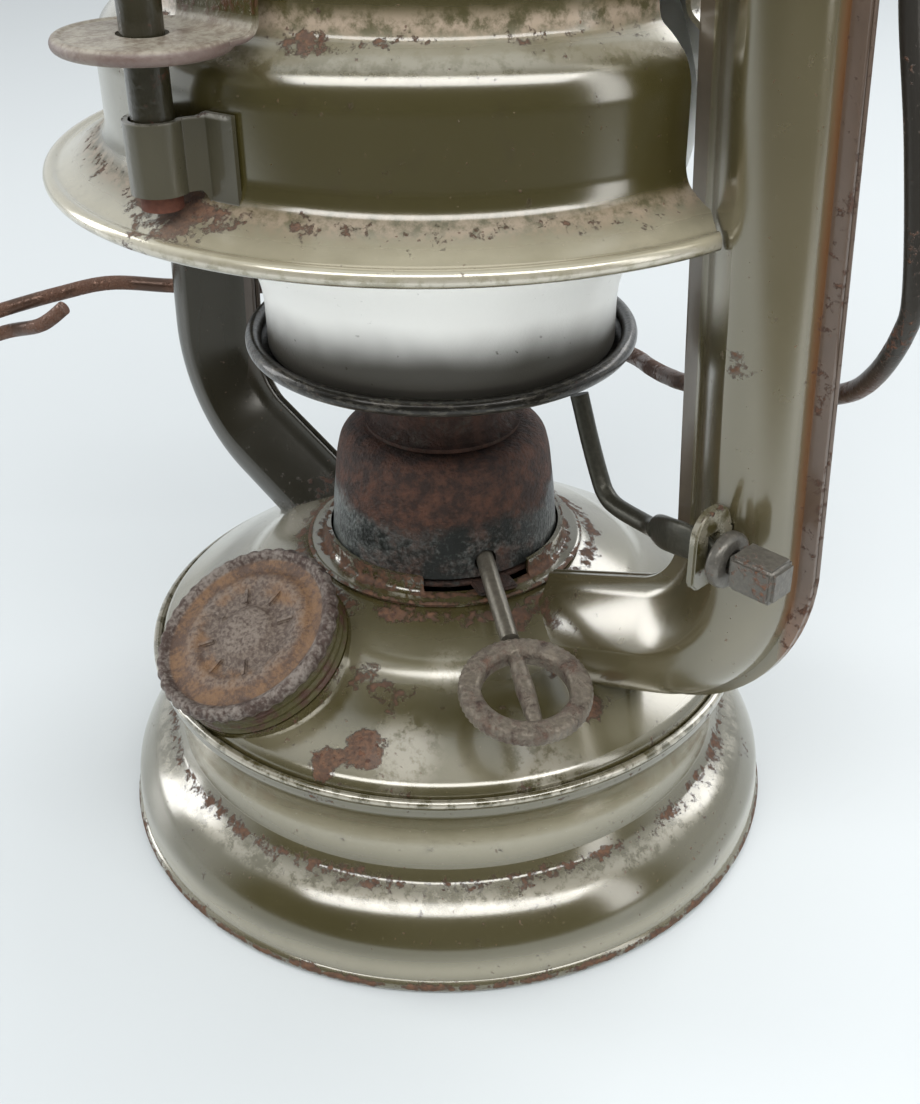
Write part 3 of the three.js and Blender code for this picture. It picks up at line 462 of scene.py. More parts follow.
# Colours as the surface shows them in plain light, linear
# thin is the pale colour of the painted sheen, which stands for reflections and partly for worn thin enamel
paint = {"olive": (0.060, 0.051, 0.015), "oliveWorn": (0.096, 0.084, 0.040), "rust": (0.060, 0.027, 0.017),
         "rustBright": (0.130, 0.058, 0.030), "rustDark": (0.028, 0.014, 0.009), "bare": (0.44, 0.42, 0.37),
         "thin": (0.44, 0.415, 0.325), "dust": (0.31, 0.245, 0.18), "steel": (0.075, 0.070, 0.060),
         "zinc": (0.27, 0.29, 0.28), "zincDark": (0.055, 0.055, 0.050)}
varnish = {"Coat_Roughness": 0.17, "Coat_IOR": 2.1, "Coat_Tint": (1.0, 0.97, 0.88)}


def enamel(name, bands=(), rings=(), spots=(), speckle=0.25, scuffs=(), dusty=(), worn=0.5, thin=(), pale=()):
    # glossy olive enamel; bands (height, width, amount), rings (radius, width, amount) and spots gather rust,
    # scuffs and pale spots are bare; the thin bands are painted sheen, pale silvery colour standing for
    # reflections and partly for worn thin enamel
    f = Finish(name)
    broad, mid, fine = f.noise(34, 3), f.noise(5, 6, 0.62), f.noise(0.8, 3, 0.6)
    gather = f.spots(spots, f.bands(f.r, rings, f.bands(f.z, bands)))
    grainy = f.noise(1.7, 6, 0.72, shift=5) * 0.6 + mid * 0.4
    rust = f.step(grainy + gather * 0.2, 0.62, 0.68)
    fleck = f.step(f.noise(0.9, 2, 0.5, shift=40) + (broad - 0.5) * speckle * 0.4 + gather * 0.06, 0.71, 0.78)
    stain = f.step(mid + gather * 0.16, 0.55, 0.85)
    olive = tuple(a * (1 - worn) + b * worn for a, b in zip(paint["olive"], paint["oliveWorn"]))
    colour = f.blend(f.step(broad, 0.35, 0.7), paint["olive"], olive)
    # painted sheen: pale silvery colour at the thin heights, standing for reflections and partly for worn
    # thin enamel
    for height, width, amount in thin:
        colour = f.blend(f.band(f.z, height, width) * f.level(mid, 0.8, 1.2) * amount, colour, paint["thin"])
    colour = f.blend(stain * 0.4, colour, paint["rustDark"])
    dust = f.bands(f.z, dusty)
    if dusty:
        settled = dust * f.step(f.noise(2.4, 6, 0.7, shift=9), 0.36, 0.62)
        colour = f.blend(settled.least(1), colour, paint["dust"])
    bare = f.spots(pale, f.bands(f.z, scuffs))
    if scuffs or pale:
        bare = (bare * f.step(f.noise(2.6, 5, 0.7, shift=70), 0.38, 0.56)).least(1)
        colour = f.blend(bare, colour, paint["bare"])
    colour = f.blend((rust * 0.85 + fleck * 0.7).least(1), colour, f.brown(fine))
    matt = (rust + fleck * 0.6 + dust * 0.8).least(1) if dusty else (rust + fleck * 0.6).least(1)
    height = fine * 0.10 + mid * 0.22 + rust * (fine * 0.9 + 0.4) + fleck * 0.4
    return f.done(Base_Color=colour, Roughness=f.level(matt, mid * 0.16 + 0.14, 0.78), **varnish,
                  Coat_Weight=(1 - matt) * 0.95, Metallic=(1 - matt) * 0.3, Normal=f.bump(height, 0.2))


def rusted(name, base, top, amount=0.5, grain=4):
    # rust over metal: base shows where the rust is thin, top is the rust
    f = Finish(name)
    mid, fine = f.noise(grain, 7, 0.65), f.noise(0.8, 4, 0.6)
    cover = f.step(mid * 0.7 + fine * 0.3 + (amount - 0.5) * 0.5, 0.42, 0.62)
    rustColour = f.blend(f.step(f.noise(2.2, 6, 0.7, shift=15), 0.36, 0.68), paint["rustDark"], top)
    colour = f.blend(cover, f.blend(f.step(fine, 0.3, 0.75), tuple(c * 0.6 for c in base), base), rustColour)
    return f.done(Base_Color=colour, Roughness=f.level(cover, 0.42, 0.82), Metallic=(1 - cover) * 0.55,
                  Normal=f.bump(mid * 0.6 + fine * 0.5 + cover * fine, 0.35))


def wireFinish(name, base, rustShare=0.2):
    f = Finish(name)
    along, fine = f.noise(9, 5, 0.6), f.noise(0.7, 3, 0.6)
    rust = f.step(along * 0.6 + fine * 0.4 + (rustShare - 0.5) * 0.3, 0.50, 0.62)
    colour = f.blend(rust, f.blend(f.step(fine, 0.3, 0.7), tuple(c * 0.7 for c in base), base),
                     f.brown(fine, 0.4))
    return f.done(Base_Color=colour, Roughness=f.level(rust, 0.34, 0.8), Metallic=(1 - rust) * 0.5,
                  Normal=f.bump(along * 0.2 + fine * 0.3 + rust * fine, 0.2))


def frostedGlass():
    f = Finish("frostedGlass")
    fine = f.noise(0.5, 3, 0.7)
    speck = f.step(f.noise(1.3, 2, 0.5, shift=25), 0.72, 0.78)
    # painted shade and reflection: the glass turns dark towards the bottom, reaching higher on the side
    # facing the camera
    ahead = (f.x * 0.72 - f.y * 0.69) / f.r
    low = f.step(f.z + f.noise(12, 2) * 3 - ahead * 4, 101, 92.5)
    colour = f.blend((low * 0.97 + speck * 0.25).least(1), (0.98, 0.975, 0.93), (0.050, 0.045, 0.034))
    return f.done(Base_Color=colour, Roughness=f.level(speck, fine * 0.1 + 0.30, 0.7),
                  Transmission_Weight=0.12, IOR=1.3, Normal=f.bump(fine * 0.5 + f.noise(6, 3) * 0.3, 0.1))


def clothTape():
    f = Finish("wickCotton")
    weave = Channel(f.tree, f.node("ShaderNodeTexWave", {"wave_type": "BANDS", "bands_direction": "Z"},
                                   {"Vector": f.place, "Scale": 0.35, "Distortion": 0.6}).outputs["Fac"])
    char = f.step(f.z + f.noise(3, 3) * 4, 92, 95)
    colour = f.blend(char, f.blend(weave * 0.3, (0.62, 0.56, 0.45), (0.40, 0.34, 0.25)), (0.02, 0.017, 0.015))
    return f.done(Base_Color=colour, Roughness=0.95, Normal=f.bump(weave, 0.3))


# Pieces

def finishPiece(node, mesh, material, body, place=None, sharp=38):
    # the piece is named after the CAD node whose place it takes
    if place is not None:
        mesh.transform(place)
    mesh.transform(Matrix.Scale(mm, 4))
    mesh.materials.clear()
    mesh.materials.append(material)
    for face in mesh.polygons:
        face.material_index = 0
        face.use_smooth = True
    mesh.set_sharp_from_angle(angle=math.radians(sharp))
    first, *others = node.split("_")
    piece = shown(mesh, first + "".join(word.capitalize() for word in others))
    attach(piece, body)
    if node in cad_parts:
        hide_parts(node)
    return piece


def refinish(node, material):
    # a CAD node whose shape is right gets its material
    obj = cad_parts[node]
    obj.data.materials.clear()
    obj.data.materials.append(material)


# Tank
tank = {"foot": (58.6, 1.4), "bead": 1.4, "bulge": [(58.95, 4.4), (58.3, 8.6), (55.4, 12.9), (50.9, 16.0)],
        "waist": [(49.5, 17.8), (49.1, 22.4), (50.2, 27.4), (52.2, 31.2)],
        "seam": [(52.6, 32.4), (52.6, 34.2)], "seamRoll": 0.75,
        "bottom": [(0, 0.4), (33, 0.4), (36, 1.8), (51, 1.8), (53.5, 0.4), (55.9, 0.4), (56.3, 3.4)],
        "dome": [(51.2, 32.4), (51.4, 34.6), (50.8, 36.0), (43.4, 40.7), (36, 44.6), (33.6, 46.7),
                 (24, 50.9), (20.6, 50.9)]}


def makeTank():
    wall = [tank["foot"]] + smoothLine(tank["bulge"], 8) + smoothLine(tank["waist"], 8) + tank["seam"]
    wall = [wall[0], wall[1]] + eased(wall[2:], 1.2, 3)
    shell = turned(sheetOutline(wall, tin, tank["bead"], beadEnd=tank["seamRoll"]))
    # the thin bands paint the waist's and the lower bulge's reflection of the pale floor as a pale silvery
    # sheen
    finish = enamel("tankEnamel", speckle=0.4,
                    bands=[(1.6, 1.5, 1.0), (16.2, 1.9, 0.72), (12, 5, 0.12), (32.6, 0.8, 0.35)],
                    scuffs=[(34.4, 1.1, 0.8), (14.6, 1.6, 0.45)], thin=[(24, 7.5, 0.62), (4.6, 3.6, 0.42)])
    finishPiece("tank_shell", shell, finish, "frame")
    finish = enamel("bottomEnamel", bands=[(0.2, 2, 0.8)], speckle=0.7, worn=0.8)
    finishPiece("tank_bottom", sheet(tank["bottom"], 1.2), finish, "frame")
    # the thin bands paint a pale sheen on the dome; the pale spots on the camera's side are worn bare metal
    # and partly a painted sheen
    finish = enamel("domeEnamel", bands=[(35.2, 1.3, 0.35)], rings=[(26, 3.2, 0.8)], speckle=0.6, worn=0.6,
                    spots=[((19.5, -45.5, 37.2), 4.0, 1.5), ((23.5, -40.5, 39), 5.0, 1.6),
                           ((27, -9, 49.5), 3.5, 1.0), ((35, -9.5, 45.5), 3.5, 0.9),
                           ((43, -10, 41.5), 4.5, 1.1), ((10, -20, 51), 6, 0.45), ((16, -33, 44.6), 6, 0.6),
                           ((22, -32, 43.4), 5, 0.5), ((-25, -26, 46), 9, 0.3)],
                    thin=[(38.5, 4, 0.3), (47, 5, 0.25)],
                    pale=[((28, -37, 39), 8, 0.7), ((44, -22.5, 37.4), 8, 0.7), ((25, -23.5, 46.3), 5, 0.4)])
    finishPiece("tank_dome", sheet(tank["dome"], 2.4), finish, "frame")


# Filler
filler = {"angle": -94, "r": 38.8, "z": 42.75, "tilt": 29, "teeth": 40}
fillerTilt = math.radians(filler["tilt"])
fillerAxis = at(math.sin(fillerTilt), filler["angle"], math.cos(fillerTilt))
fillerSpot = at(filler["r"], filler["angle"], filler["z"])
fillerPlace = Matrix.Translation(fillerSpot) @ up.rotation_difference(fillerAxis).to_matrix().to_4x4()
neckLine = [(12.4, -4.5), (15.4, -4.5), (15.4, 1.2), (13.7, 1.2), (13.7, 6.4), (12.4, 6.4)]
gasketLine = [(0, 6.7), (13.7, 6.7), (13.7, 7.0), (0, 7.0)]
capShape = {"inner": 14.3, "low": 1.6, "skirt": 15.4, "shoulder": 6.3, "rim": 16.5, "rimTop": 8.9,
            "raised": [(12.2, 0), (11.0, 0.45), (10.0, 0.6), (9.0, 0.45), (8.0, 0), (5.2, 0), (4.3, 0.55),
                       (0, 0.7)],
            "disc": 7.7, "roof": 7.05, "thread": 0.45, "turns": 3, "knurl": 0.34, "ribs": 8, "ribFrom": 3.6,
            "rib": ((2.0, -0.55, 7.4), (5.4, 0.55, 8.12))}


def makeFiller():
    finish = enamel("neckEnamel", bands=[(40, 14, 0.5)], speckle=0.6)
    finishPiece("filler_neck", turned(neckLine, 72), finish, "frame", fillerPlace)
    c = capShape
    skirt = []
    span = c["shoulder"] - c["low"]
    for i in range(c["turns"] * 8 + 1):
        share = i / (c["turns"] * 8)
        wave = 0.5 - 0.5 * math.cos(2 * math.pi * share * c["turns"])
        skirt.append((c["skirt"] - c["thread"] * wave, c["low"] + span * share))
    top = [(c["rim"] - 0.5, c["shoulder"]), (c["rim"], c["shoulder"] + 0.7), (c["rim"], c["rimTop"] - 0.9),
           (c["rim"] - 0.7, c["rimTop"]), (c["rim"] - 1.7, c["rimTop"] - 0.1),
           (c["rim"] - 2.6, c["disc"] + 0.2)] + [(r, c["disc"] + rise) for r, rise in c["raised"]]
    outline = [(c["inner"], c["low"])] + skirt + eased(top, 0.5, 3)
    outline += [(0, c["roof"]), (c["inner"], c["roof"])]

    def knurl(angle, r, z):
        # the crimped edge
        edge = max(0.0, min(1.0, (r - c["rim"] + 1.6) / 1.2)) * (1 if z > c["shoulder"] - 0.4 else 0)
        return r - c["knurl"] * edge * (0.5 + 0.5 * math.cos(filler["teeth"] * angle))

    body = turned(outline, 400, knurl)
    ribs = around(edged(block(*c["rib"]), 0.3), c["ribs"], c["ribFrom"])
    finishPiece("filler_cap", together(body, ribs), capFinish(), "lid", fillerPlace)
    f = Finish("agedGasket")
    spots = f.noise(1.2, 5)
    cork = f.done(Base_Color=f.blend(spots, (0.03, 0.022, 0.016), (0.08, 0.06, 0.04)), Roughness=0.9,
                  Normal=f.bump(spots, 0.2))
    finishPiece("cap_gasket", turned(gasketLine, 64), cork, "seal", fillerPlace)


def capFinish():
    # rusty disc, scuffed rim, olive left on the threaded skirt
    f = Finish("capRust")
    along = f.node("ShaderNodeVectorMath", {"operation": "SUBTRACT"}, {0: f.place, 1: tuple(fillerSpot)})
    height = Channel(f.tree, f.node("ShaderNodeVectorMath", {"operation": "DOT_PRODUCT"},
                                    {0: along, 1: tuple(fillerAxis)}).outputs["Value"])
    length = f.node("ShaderNodeVectorMath", {"operation": "LENGTH"}, {0: along})
    far = Channel(f.tree, length.outputs["Value"])
    r = (far * far - height * height).most(0) ** 0.5
    mid, fine, broad = f.noise(4, 7, 0.66), f.noise(0.7, 4, 0.65), f.noise(12, 3)
    disc = f.step(height, 7.0, 7.6)
    rim = f.step(r, 13.7, 14.3) * f.step(height, 6.2, 6.8)
    orange = f.blend(f.step(mid * 0.6 + fine * 0.4, 0.40, 0.60), (0.078, 0.046, 0.031), (0.185, 0.104, 0.052))
    grey = f.blend(f.step(fine, 0.35, 0.7), (0.070, 0.046, 0.034), (0.175, 0.138, 0.108))
    face = f.blend(f.step(r * 0.05 + broad * 0.5 + mid * 0.5, 0.86, 1.04), grey, orange)
    face = f.blend(f.step(height, 8.0, 8.35) * f.step(fine, 0.35, 0.6) * 0.6, face, (0.20, 0.165, 0.135))
    side = f.blend(f.step(mid, 0.46, 0.62), paint["olive"], paint["rust"])
    edge = f.blend(f.step(fine * 0.5 + mid * 0.5, 0.42, 0.62), (0.060, 0.038, 0.030), (0.22, 0.19, 0.165))
    colour = f.blend(rim, f.blend(disc, side, face), edge)
    return f.done(Base_Color=colour, Roughness=f.level(disc, 0.34, mid * 0.3 + 0.42),
                  Metallic=f.level(rim, 0.2, 0.45), Normal=f.bump(mid * 0.5 + fine * 0.7, 0.35))


# Burner, on its collar; the wick's width runs along local X
burner = {"turn": -33.6, "offset": 3.3, "shaftZ": 60.4, "slope": 10.7, "lug": 12}
burnerPlace = Matrix.Rotation(math.radians(burner["turn"]), 4, "Z")
shaftPlace = burnerPlace @ Matrix.Translation((0, burner["offset"], burner["shaftZ"])) @ \
    Matrix.Rotation(math.radians(burner["slope"]), 4, "Y")
collarLine = [(24.1, 51.7), (23.6, 52.0), (21.4, 51.9), (20.6, 52.8), (20.5, 55)]
coneLine = [(19.4, 54.1), (19.2, 55.2), (18.9, 60), (17.9, 68.8), (17.2, 71.6), (15.8, 72.9), (14.2, 73.4),
            (11.9, 73.4)]
galleryLine = [(13.2, 74.5), (12.2, 74.7), (10.5, 76.2), (10.4, 78), (10.4, 91), (9.9, 94.6), (7.8, 97.2),
               (0, 98)]
flameSlot = ((-7, -2.2, 92), (7, 2.2, 102))
collarGate = ((0, -11.2, 52.25), (26, 7, 62))
plateDisc = {"line": [(0, 52.5), (19.6, 52.5), (19.6, 53.3), (0, 53.3)],
             "lug": ((16, -3.5, 52.52), (23.4, 3.5, 53.28))}
shaft = {"from": -8, "step": 7, "to": 38.2, "thin": 1.0, "thick": 1.5, "hole": 1.9, "holeFrom": 8,
         "holeTo": 26}
knob = {"centre": 48.9, "radius": 10.25, "band": 3.5, "thick": 2.7, "teeth": 56, "notch": 0.22,
        "crossWide": [1.2, 1.2, 1.3, 1.5, 1.25, 1.1, 1.0]}


def makeBurner():
    sides = (burner["lug"], 180 + burner["lug"])
    gates = [turnedRound(block(*collarGate), side) for side in sides]
    finish = enamel("collarEnamel", rings=[(21.5, 2.2, 1.0), (24.2, 1.2, 1.0)], speckle=0.8)
    collar = cutAway(sheet(collarLine, 0.7), *gates)
    finishPiece("burner_collar", collar, finish, "frame", burnerPlace)
    plate = turned(eased(plateDisc["line"], 0.2, 2), 120)
    lugs = [turnedRound(edged(block(*plateDisc["lug"]), 0.3), side) for side in sides]
    rust = rusted("burnerRust", paint["zincDark"], paint["rust"], 0.62)
    finishPiece("burner_plate", together(plate, *lugs), rust, "burner", burnerPlace)
    s = shaft
    hole = rod((s["holeFrom"], 0, 0), (s["holeTo"], 0, 0), s["hole"])
    hole.transform(burnerPlace.inverted() @ shaftPlace)
    cone = cutAway(sheet(coneLine, 1.2), hole)
    finishPiece("burner_cone", cone, coneFinish(), "burner", burnerPlace)
    rust = rusted("galleryRust", (0.10, 0.085, 0.07), paint["rust"], 0.75)
    gallery = cutAway(sheet(galleryLine, 1.2, 96), block(*flameSlot))
    finishPiece("flame_gallery", gallery, rust, "burner", burnerPlace)
    worn = wireFinish("shaftSteel", (0.16, 0.145, 0.115), 0.25)
    bar = together(rod((s["step"] - 0.4, 0, 0), (s["to"], 0, 0), s["thick"]),
                   rod((s["from"], 0, 0), (s["step"], 0, 0), s["thin"], 24))
    finishPiece("wick_shaft", bar, worn, "knob", shaftPlace)
    makeKnob()
    zinc = rusted("zincPlate", paint["zinc"], paint["rust"], 0.3)
    for node in ("wick_wheel_outer", "wick_wheel_inner", "wick_tube"):
        refinish(node, zinc)
    refinish("wick", clothTape())


def coneFinish():
    # mottled zinc below and on one side, brown rust over the shoulder
    f = Finish("coneZinc")
    mid, fine, broad = f.noise(5.5, 7, 0.68), f.noise(0.7, 4, 0.6), f.noise(16, 3)
    high = f.step(f.z, 60, 72)
    side = f.step(f.x * 0.6 + f.y * -0.5, -14, 22)
    rust = f.step(mid * 0.55 + broad * 0.25 + high * 0.42 + side * 0.16, 0.50, 0.66)
    pale = f.step(f.x * -0.7 + f.y * -0.35, -4, 16) * 0.10
    metal = f.blend(f.step(mid * 0.6 + fine * 0.4 + pale, 0.46, 0.66), (0.020, 0.022, 0.020),
                    (0.15, 0.165, 0.155))
    brown = f.blend(f.step(f.noise(2.6, 6, 0.7, shift=8), 0.38, 0.66), (0.024, 0.012, 0.008),
                    (0.082, 0.033, 0.018))
    return f.done(Base_Color=f.blend(rust, metal, brown), Roughness=f.level(rust, 0.36, 0.72),
                  Metallic=(1 - rust) * 0.5, Normal=f.bump(mid * 0.5 + fine * 0.7 + rust * fine, 0.35))


def makeKnob():
    k = knob
    half, inner = k["thick"] / 2, k["radius"] - k["band"]
    outline = eased([(inner, -half), (k["radius"], -half), (k["radius"], half), (inner, half),
                     (inner, -half)], 1.0, 4)

    def teeth(angle, r, z):
        edge = max(0.0, (r - k["radius"] + 1.0))
        return r - k["notch"] * edge * (0.5 + 0.5 * math.cos(k["teeth"] * angle))

    hoop = turned(outline[:-1], 352, teeth)
    hoop.transform(Matrix.Translation((k["centre"], 0, 0)))
    ends = (-inner - 1.4, -inner, -inner + 2, 0, inner - 2, inner, inner + 1.4)
    angles = [math.pi * i / 10 for i in range(20)]
    cross = lofted([[Vector((k["centre"] + x, wide * math.cos(a), wide * math.sin(a))) for a in angles]
                    for x, wide in zip(ends, k["crossWide"])])
    finish = rusted("knobRust", (0.24, 0.205, 0.16), (0.130, 0.076, 0.052), 0.42, 3)
    finishPiece("knob_ring", together(hoop, cross), finish, "knob", shaftPlace)


# Air tubes: two pressed halves each, with lock seams in the plane of the tube
tubeShape = {"r": 62.4, "lean": 4.8, "deep": 9.1, "wide": 7.8, "fin": 2.6, "elbowFin": 0.9,
             "finThick": 0.9, "split": 0.12, "bend": 21, "outer": 2.6, "inner": 1.15, "lowBend": 73,
             "highBend": 188, "lowTurn": 68, "lowEnd": 28.5, "highEnd": 26, "collar": 25.7}


def tubeStations():
    # along the tube's middle: the place, the outward direction and how wide the fins are
    t = tubeShape
    stations = []

    def turn(angle, r, z, fin):
        out = Vector((math.cos(angle), 0, math.sin(angle)))
        stations.append((Vector((r - t["bend"], 0, z)) + out * t["bend"], out, fin))

    low, lean = -math.radians(t["lowTurn"]), math.atan2(t["lean"], t["highBend"] - t["lowBend"])
    out = Vector((math.cos(low), 0, math.sin(low)))
    start = Vector((t["r"] - t["bend"], 0, t["lowBend"])) + out * t["bend"]
    heading = Vector((math.sin(low), 0, -math.cos(low)))
    for share in (1, 0.66, 0.33):
        stations.append((start + heading * t["lowEnd"] * share, out, t["elbowFin"]))
    for i in range(17):
        fin = t["elbowFin"] + (t["fin"] - t["elbowFin"]) * i / 16
        turn(low + (lean - low) * i / 16, t["r"], t["lowBend"], fin)
    below, out = stations[-1][0], stations[-1][1]
    turn(lean, t["r"] - t["lean"], t["highBend"], t["fin"])
    above = stations.pop()[0]
    for i in range(1, 8):
        stations.append((below + (above - below) * i / 8, out, t["fin"]))
    for i in range(17):
        turn(lean + (math.pi / 2 - lean) * i / 16, t["r"] - t["lean"], t["highBend"], t["fin"])
    stations.append((Vector((t["highEnd"], 0, t["highBend"] + t["bend"])), Vector((0, 0, 1)), t["fin"]))
    return stations


def tubeFlank(grow, steps):
    # full on the outer half, drawn to a wedge on the inner half
    t = tubeShape
    points = []
    for i in range(steps + 1):
        c, s = math.cos(math.pi * i / steps), math.sin(math.pi * i / steps)
        power = 2 / (t["outer"] if c > 0 else t["inner"])
        across = (t["deep"] + grow) * abs(c) ** power * (1 if c > 0 else -1)
        points.append((across, (t["wide"] + grow) * s ** power))
    return points


def tubeRoom(clear):
    # the space of a whole tube, to cut others clear of it
    t = tubeShape
    side = t["split"] + t["finThick"] + clear
    rings = []
    for place, out, fin in tubeStations():
        tip = t["deep"] + fin + clear
        flank = [p for p in tubeFlank(clear, 32) if p[1] > side]
        below = [(x, -y) for x, y in flank[::-1]]
        section = [(tip, -side), (tip, side)] + flank + [(-tip, side), (-tip, -side)] + below
        rings.append([place + out * x + Vector((0, y, 0)) for x, y in section])
    return lofted(rings)


def tubeHalf(side):
    t = tubeShape
    split, skin = t["split"], t["split"] + t["finThick"]

    def section(fin):
        tip = t["deep"] + fin
        outer = [p for p in tubeFlank(0, 36) if p[1] > skin + 0.25]
        inner = [p for p in tubeFlank(-tin, 16) if p[1] > skin + 0.1][::-1]
        first = [(tip - 0.2, split), (tip, split + 0.25), (tip - 0.1, skin - 0.1), (tip - 0.5, skin),
                 (t["deep"] + 0.1, skin)]
        return first + outer + [(-x, y) for x, y in first[::-1]] + [(tin - t["deep"], split)] + inner + \
            [(t["deep"] - tin, split)]

    mesh = lofted([[place + out * x + Vector((0, side * y, 0)) for x, y in section(fin)]
                   for place, out, fin in tubeStations()])
    with editing(mesh) as build:
        cutFlat(build, (t["collar"], 0, 0), (-1, 0, 0))
    return mesh


def tubeFinish(name, side):
    # a brown line along the outer lock seam, rust where the tube meets the dome
    f = Finish(name)
    t = tubeShape
    broad, mid, fine = f.noise(22, 3, stretch=(1, 1, 0.3)), f.noise(5, 6, 0.62), f.noise(0.9, 3, 0.6)
    middle = (f.z - t["lowBend"]).most(0) * (-t["lean"] / (t["highBend"] - t["lowBend"])) + t["r"]
    ahead, above = (f.x * side - middle + t["bend"]).most(0), (f.z - t["highBend"]).most(0)
    out = (ahead ** 2 + above ** 2) ** 0.5 - t["bend"]
    seam = f.step(f.y.size(), 3.2, 1.2) * f.step(out, 7.4, 8.8)
    fin = f.step(out.size(), 9.2, 9.5) * f.step(f.z, 62, 76)
    foot = f.step(f.z, 58, 50) * f.step(f.r, 44, 30)
    gather = f.spots([((side * 62, -7, 106), 4, 0.7)], seam * 0.4 + foot * 0.6)
    rust = f.step(f.noise(1.7, 6, 0.72, shift=5) * 0.6 + mid * 0.4 + gather * 0.2, 0.62, 0.69)
    fleck = f.step(f.noise(0.9, 2, 0.5, shift=33) + (broad - 0.5) * 0.2, 0.73, 0.79)
    # painted shade: the left tube's colour is painted far darker (0.2 against 0.92) than the right one's
    tone, coat, metal = (0.92, 0.9, 0.35) if side > 0 else (0.2, 0.05, 0.3)
    colour = f.blend(f.step(broad, 0.35, 0.7), *(tuple(c * tone for c in shade) for shade in (
        (0.105, 0.090, 0.045), (0.150, 0.130, 0.078))))
    colour = f.blend(seam * f.level(mid, 0.6, 1.2), colour, (0.150, 0.066, 0.026))
    colour = f.blend(fin * 0.8, colour, f.blend(mid, (0.050, 0.036, 0.028), (0.105, 0.080, 0.062)))
    colour = f.blend((rust * 0.85 + fleck * 0.7).least(1), colour, f.brown(fine))
    matt = (rust + fleck * 0.6 + seam * 0.3 + fin * 0.3).least(1)
    height = fine * 0.1 + mid * 0.18 + rust * (fine * 0.8 + 0.4)
    return f.done(Base_Color=colour, Roughness=f.level(matt, mid * 0.14 + 0.18, 0.75), **varnish,
                  Coat_Weight=(1 - matt) * coat, Metallic=(1 - matt) * metal, Normal=f.bump(height, 0.18))


def makeTubes():
    for side, label in ((1, "right"), (-1, "left")):
        finish = tubeFinish(label + "TubeEnamel", side)
        for y, half in ((-1, "front"), (1, "rear")):
            mesh = tubeHalf(y * side)
            finishPiece(f"tube_{label}_{half}", mesh if side > 0 else turnedRound(mesh, 180), finish, "frame",
                        sharp=50)


# Canopy, chimney and crown
canopy = {"lower": [(16.4, 200.4), (31.2, 200.4), (34.6, 203.8), (34.6, 208.6), (37.6, 209.8)],
          "upper": [(37.6, 211.0), (34.6, 212.2), (31.6, 218.4), (22.6, 220.2), (16.4, 220.2)],
          "skirt": [(41.4, 158), (41.4, 187.6), (44.1, 190.2), (44.1, 195.4), (35, 199.4), (29, 199.4)]}
chimneyLine = [(25, 167), (24.1, 169.4), (20.6, 171.6), (16.6, 175.6), (15, 180), (15, 238)]
crown = {"band": [(16.1, 224.4), (20.2, 227), (20.8, 244.6)], "holes": 12, "hole": 2.6, "holeZ": 233.6,
         "holeFrom": 15.9, "holeTo": 27,
         "hood": [(25, 240.6), (24.2, 241.4), (21.8, 245.4), (11, 250.6), (0, 252.4)]}
staple = {"roof": 253.1, "high": 3.8, "half": 3, "wire": 0.9,
          "archShares": [(-1, 0), (-1, 0.5), (-0.6, 0.9), (0, 1), (0.6, 0.9), (1, 0.5), (1, 0)]}
ring = {"r": 8.2, "z": 254.9, "lean": 13, "wire": 0.95}
spring = {"r": 18.6, "low": 176, "high": 199.2, "split": 43, "wire": 0.5}
bailEar = {"x": 65.1, "thick": 1.25, "half": 4.55, "low": 199.1, "z": 210.4, "hole": 2.3, "foot": 58}


def makeCanopy():
    paintUpper = enamel("canopyEnamel", bands=[(210.4, 3, 0.9)], speckle=0.5)
    for half in ("lower", "upper"):
        finishPiece("canopy_" + half, sheet(canopy[half], 1.8), paintUpper, "frame")
    finish = enamel("skirtEnamel", bands=[(190, 3, 0.7)], speckle=0.4)
    finishPiece("canopy_skirt", sheet(canopy["skirt"], 2), finish, "frame")
    for side, label in ((0, "Right"), (180, "Left")):
        e = bailEar
        tongue = [Vector((-e["half"], e["low"])), Vector((e["half"], e["low"]))]
        tongue += archOver(0, e["z"], e["half"], 24)
        standing = stood(pressed(tongue, -e["thick"] / 2, e["thick"] / 2), e["x"] + e["thick"] / 2)
        foot = block((e["foot"], -e["half"], e["low"]), (e["x"] + e["thick"], e["half"], e["low"] + 3.6))
        hole = rod((e["x"] - 3, 0, e["z"]), (e["x"] + 4, 0, e["z"]), e["hole"])
        mesh = turnedRound(together(cutAway(edged(standing, 0.25), hole), edged(foot, 0.3)), side)
        finish = enamel("earEnamel" + label, bands=[(210, 7, 0.5)], speckle=0.8)
        finishPiece("bail_ear_" + label.lower(), mesh, finish, "frame")


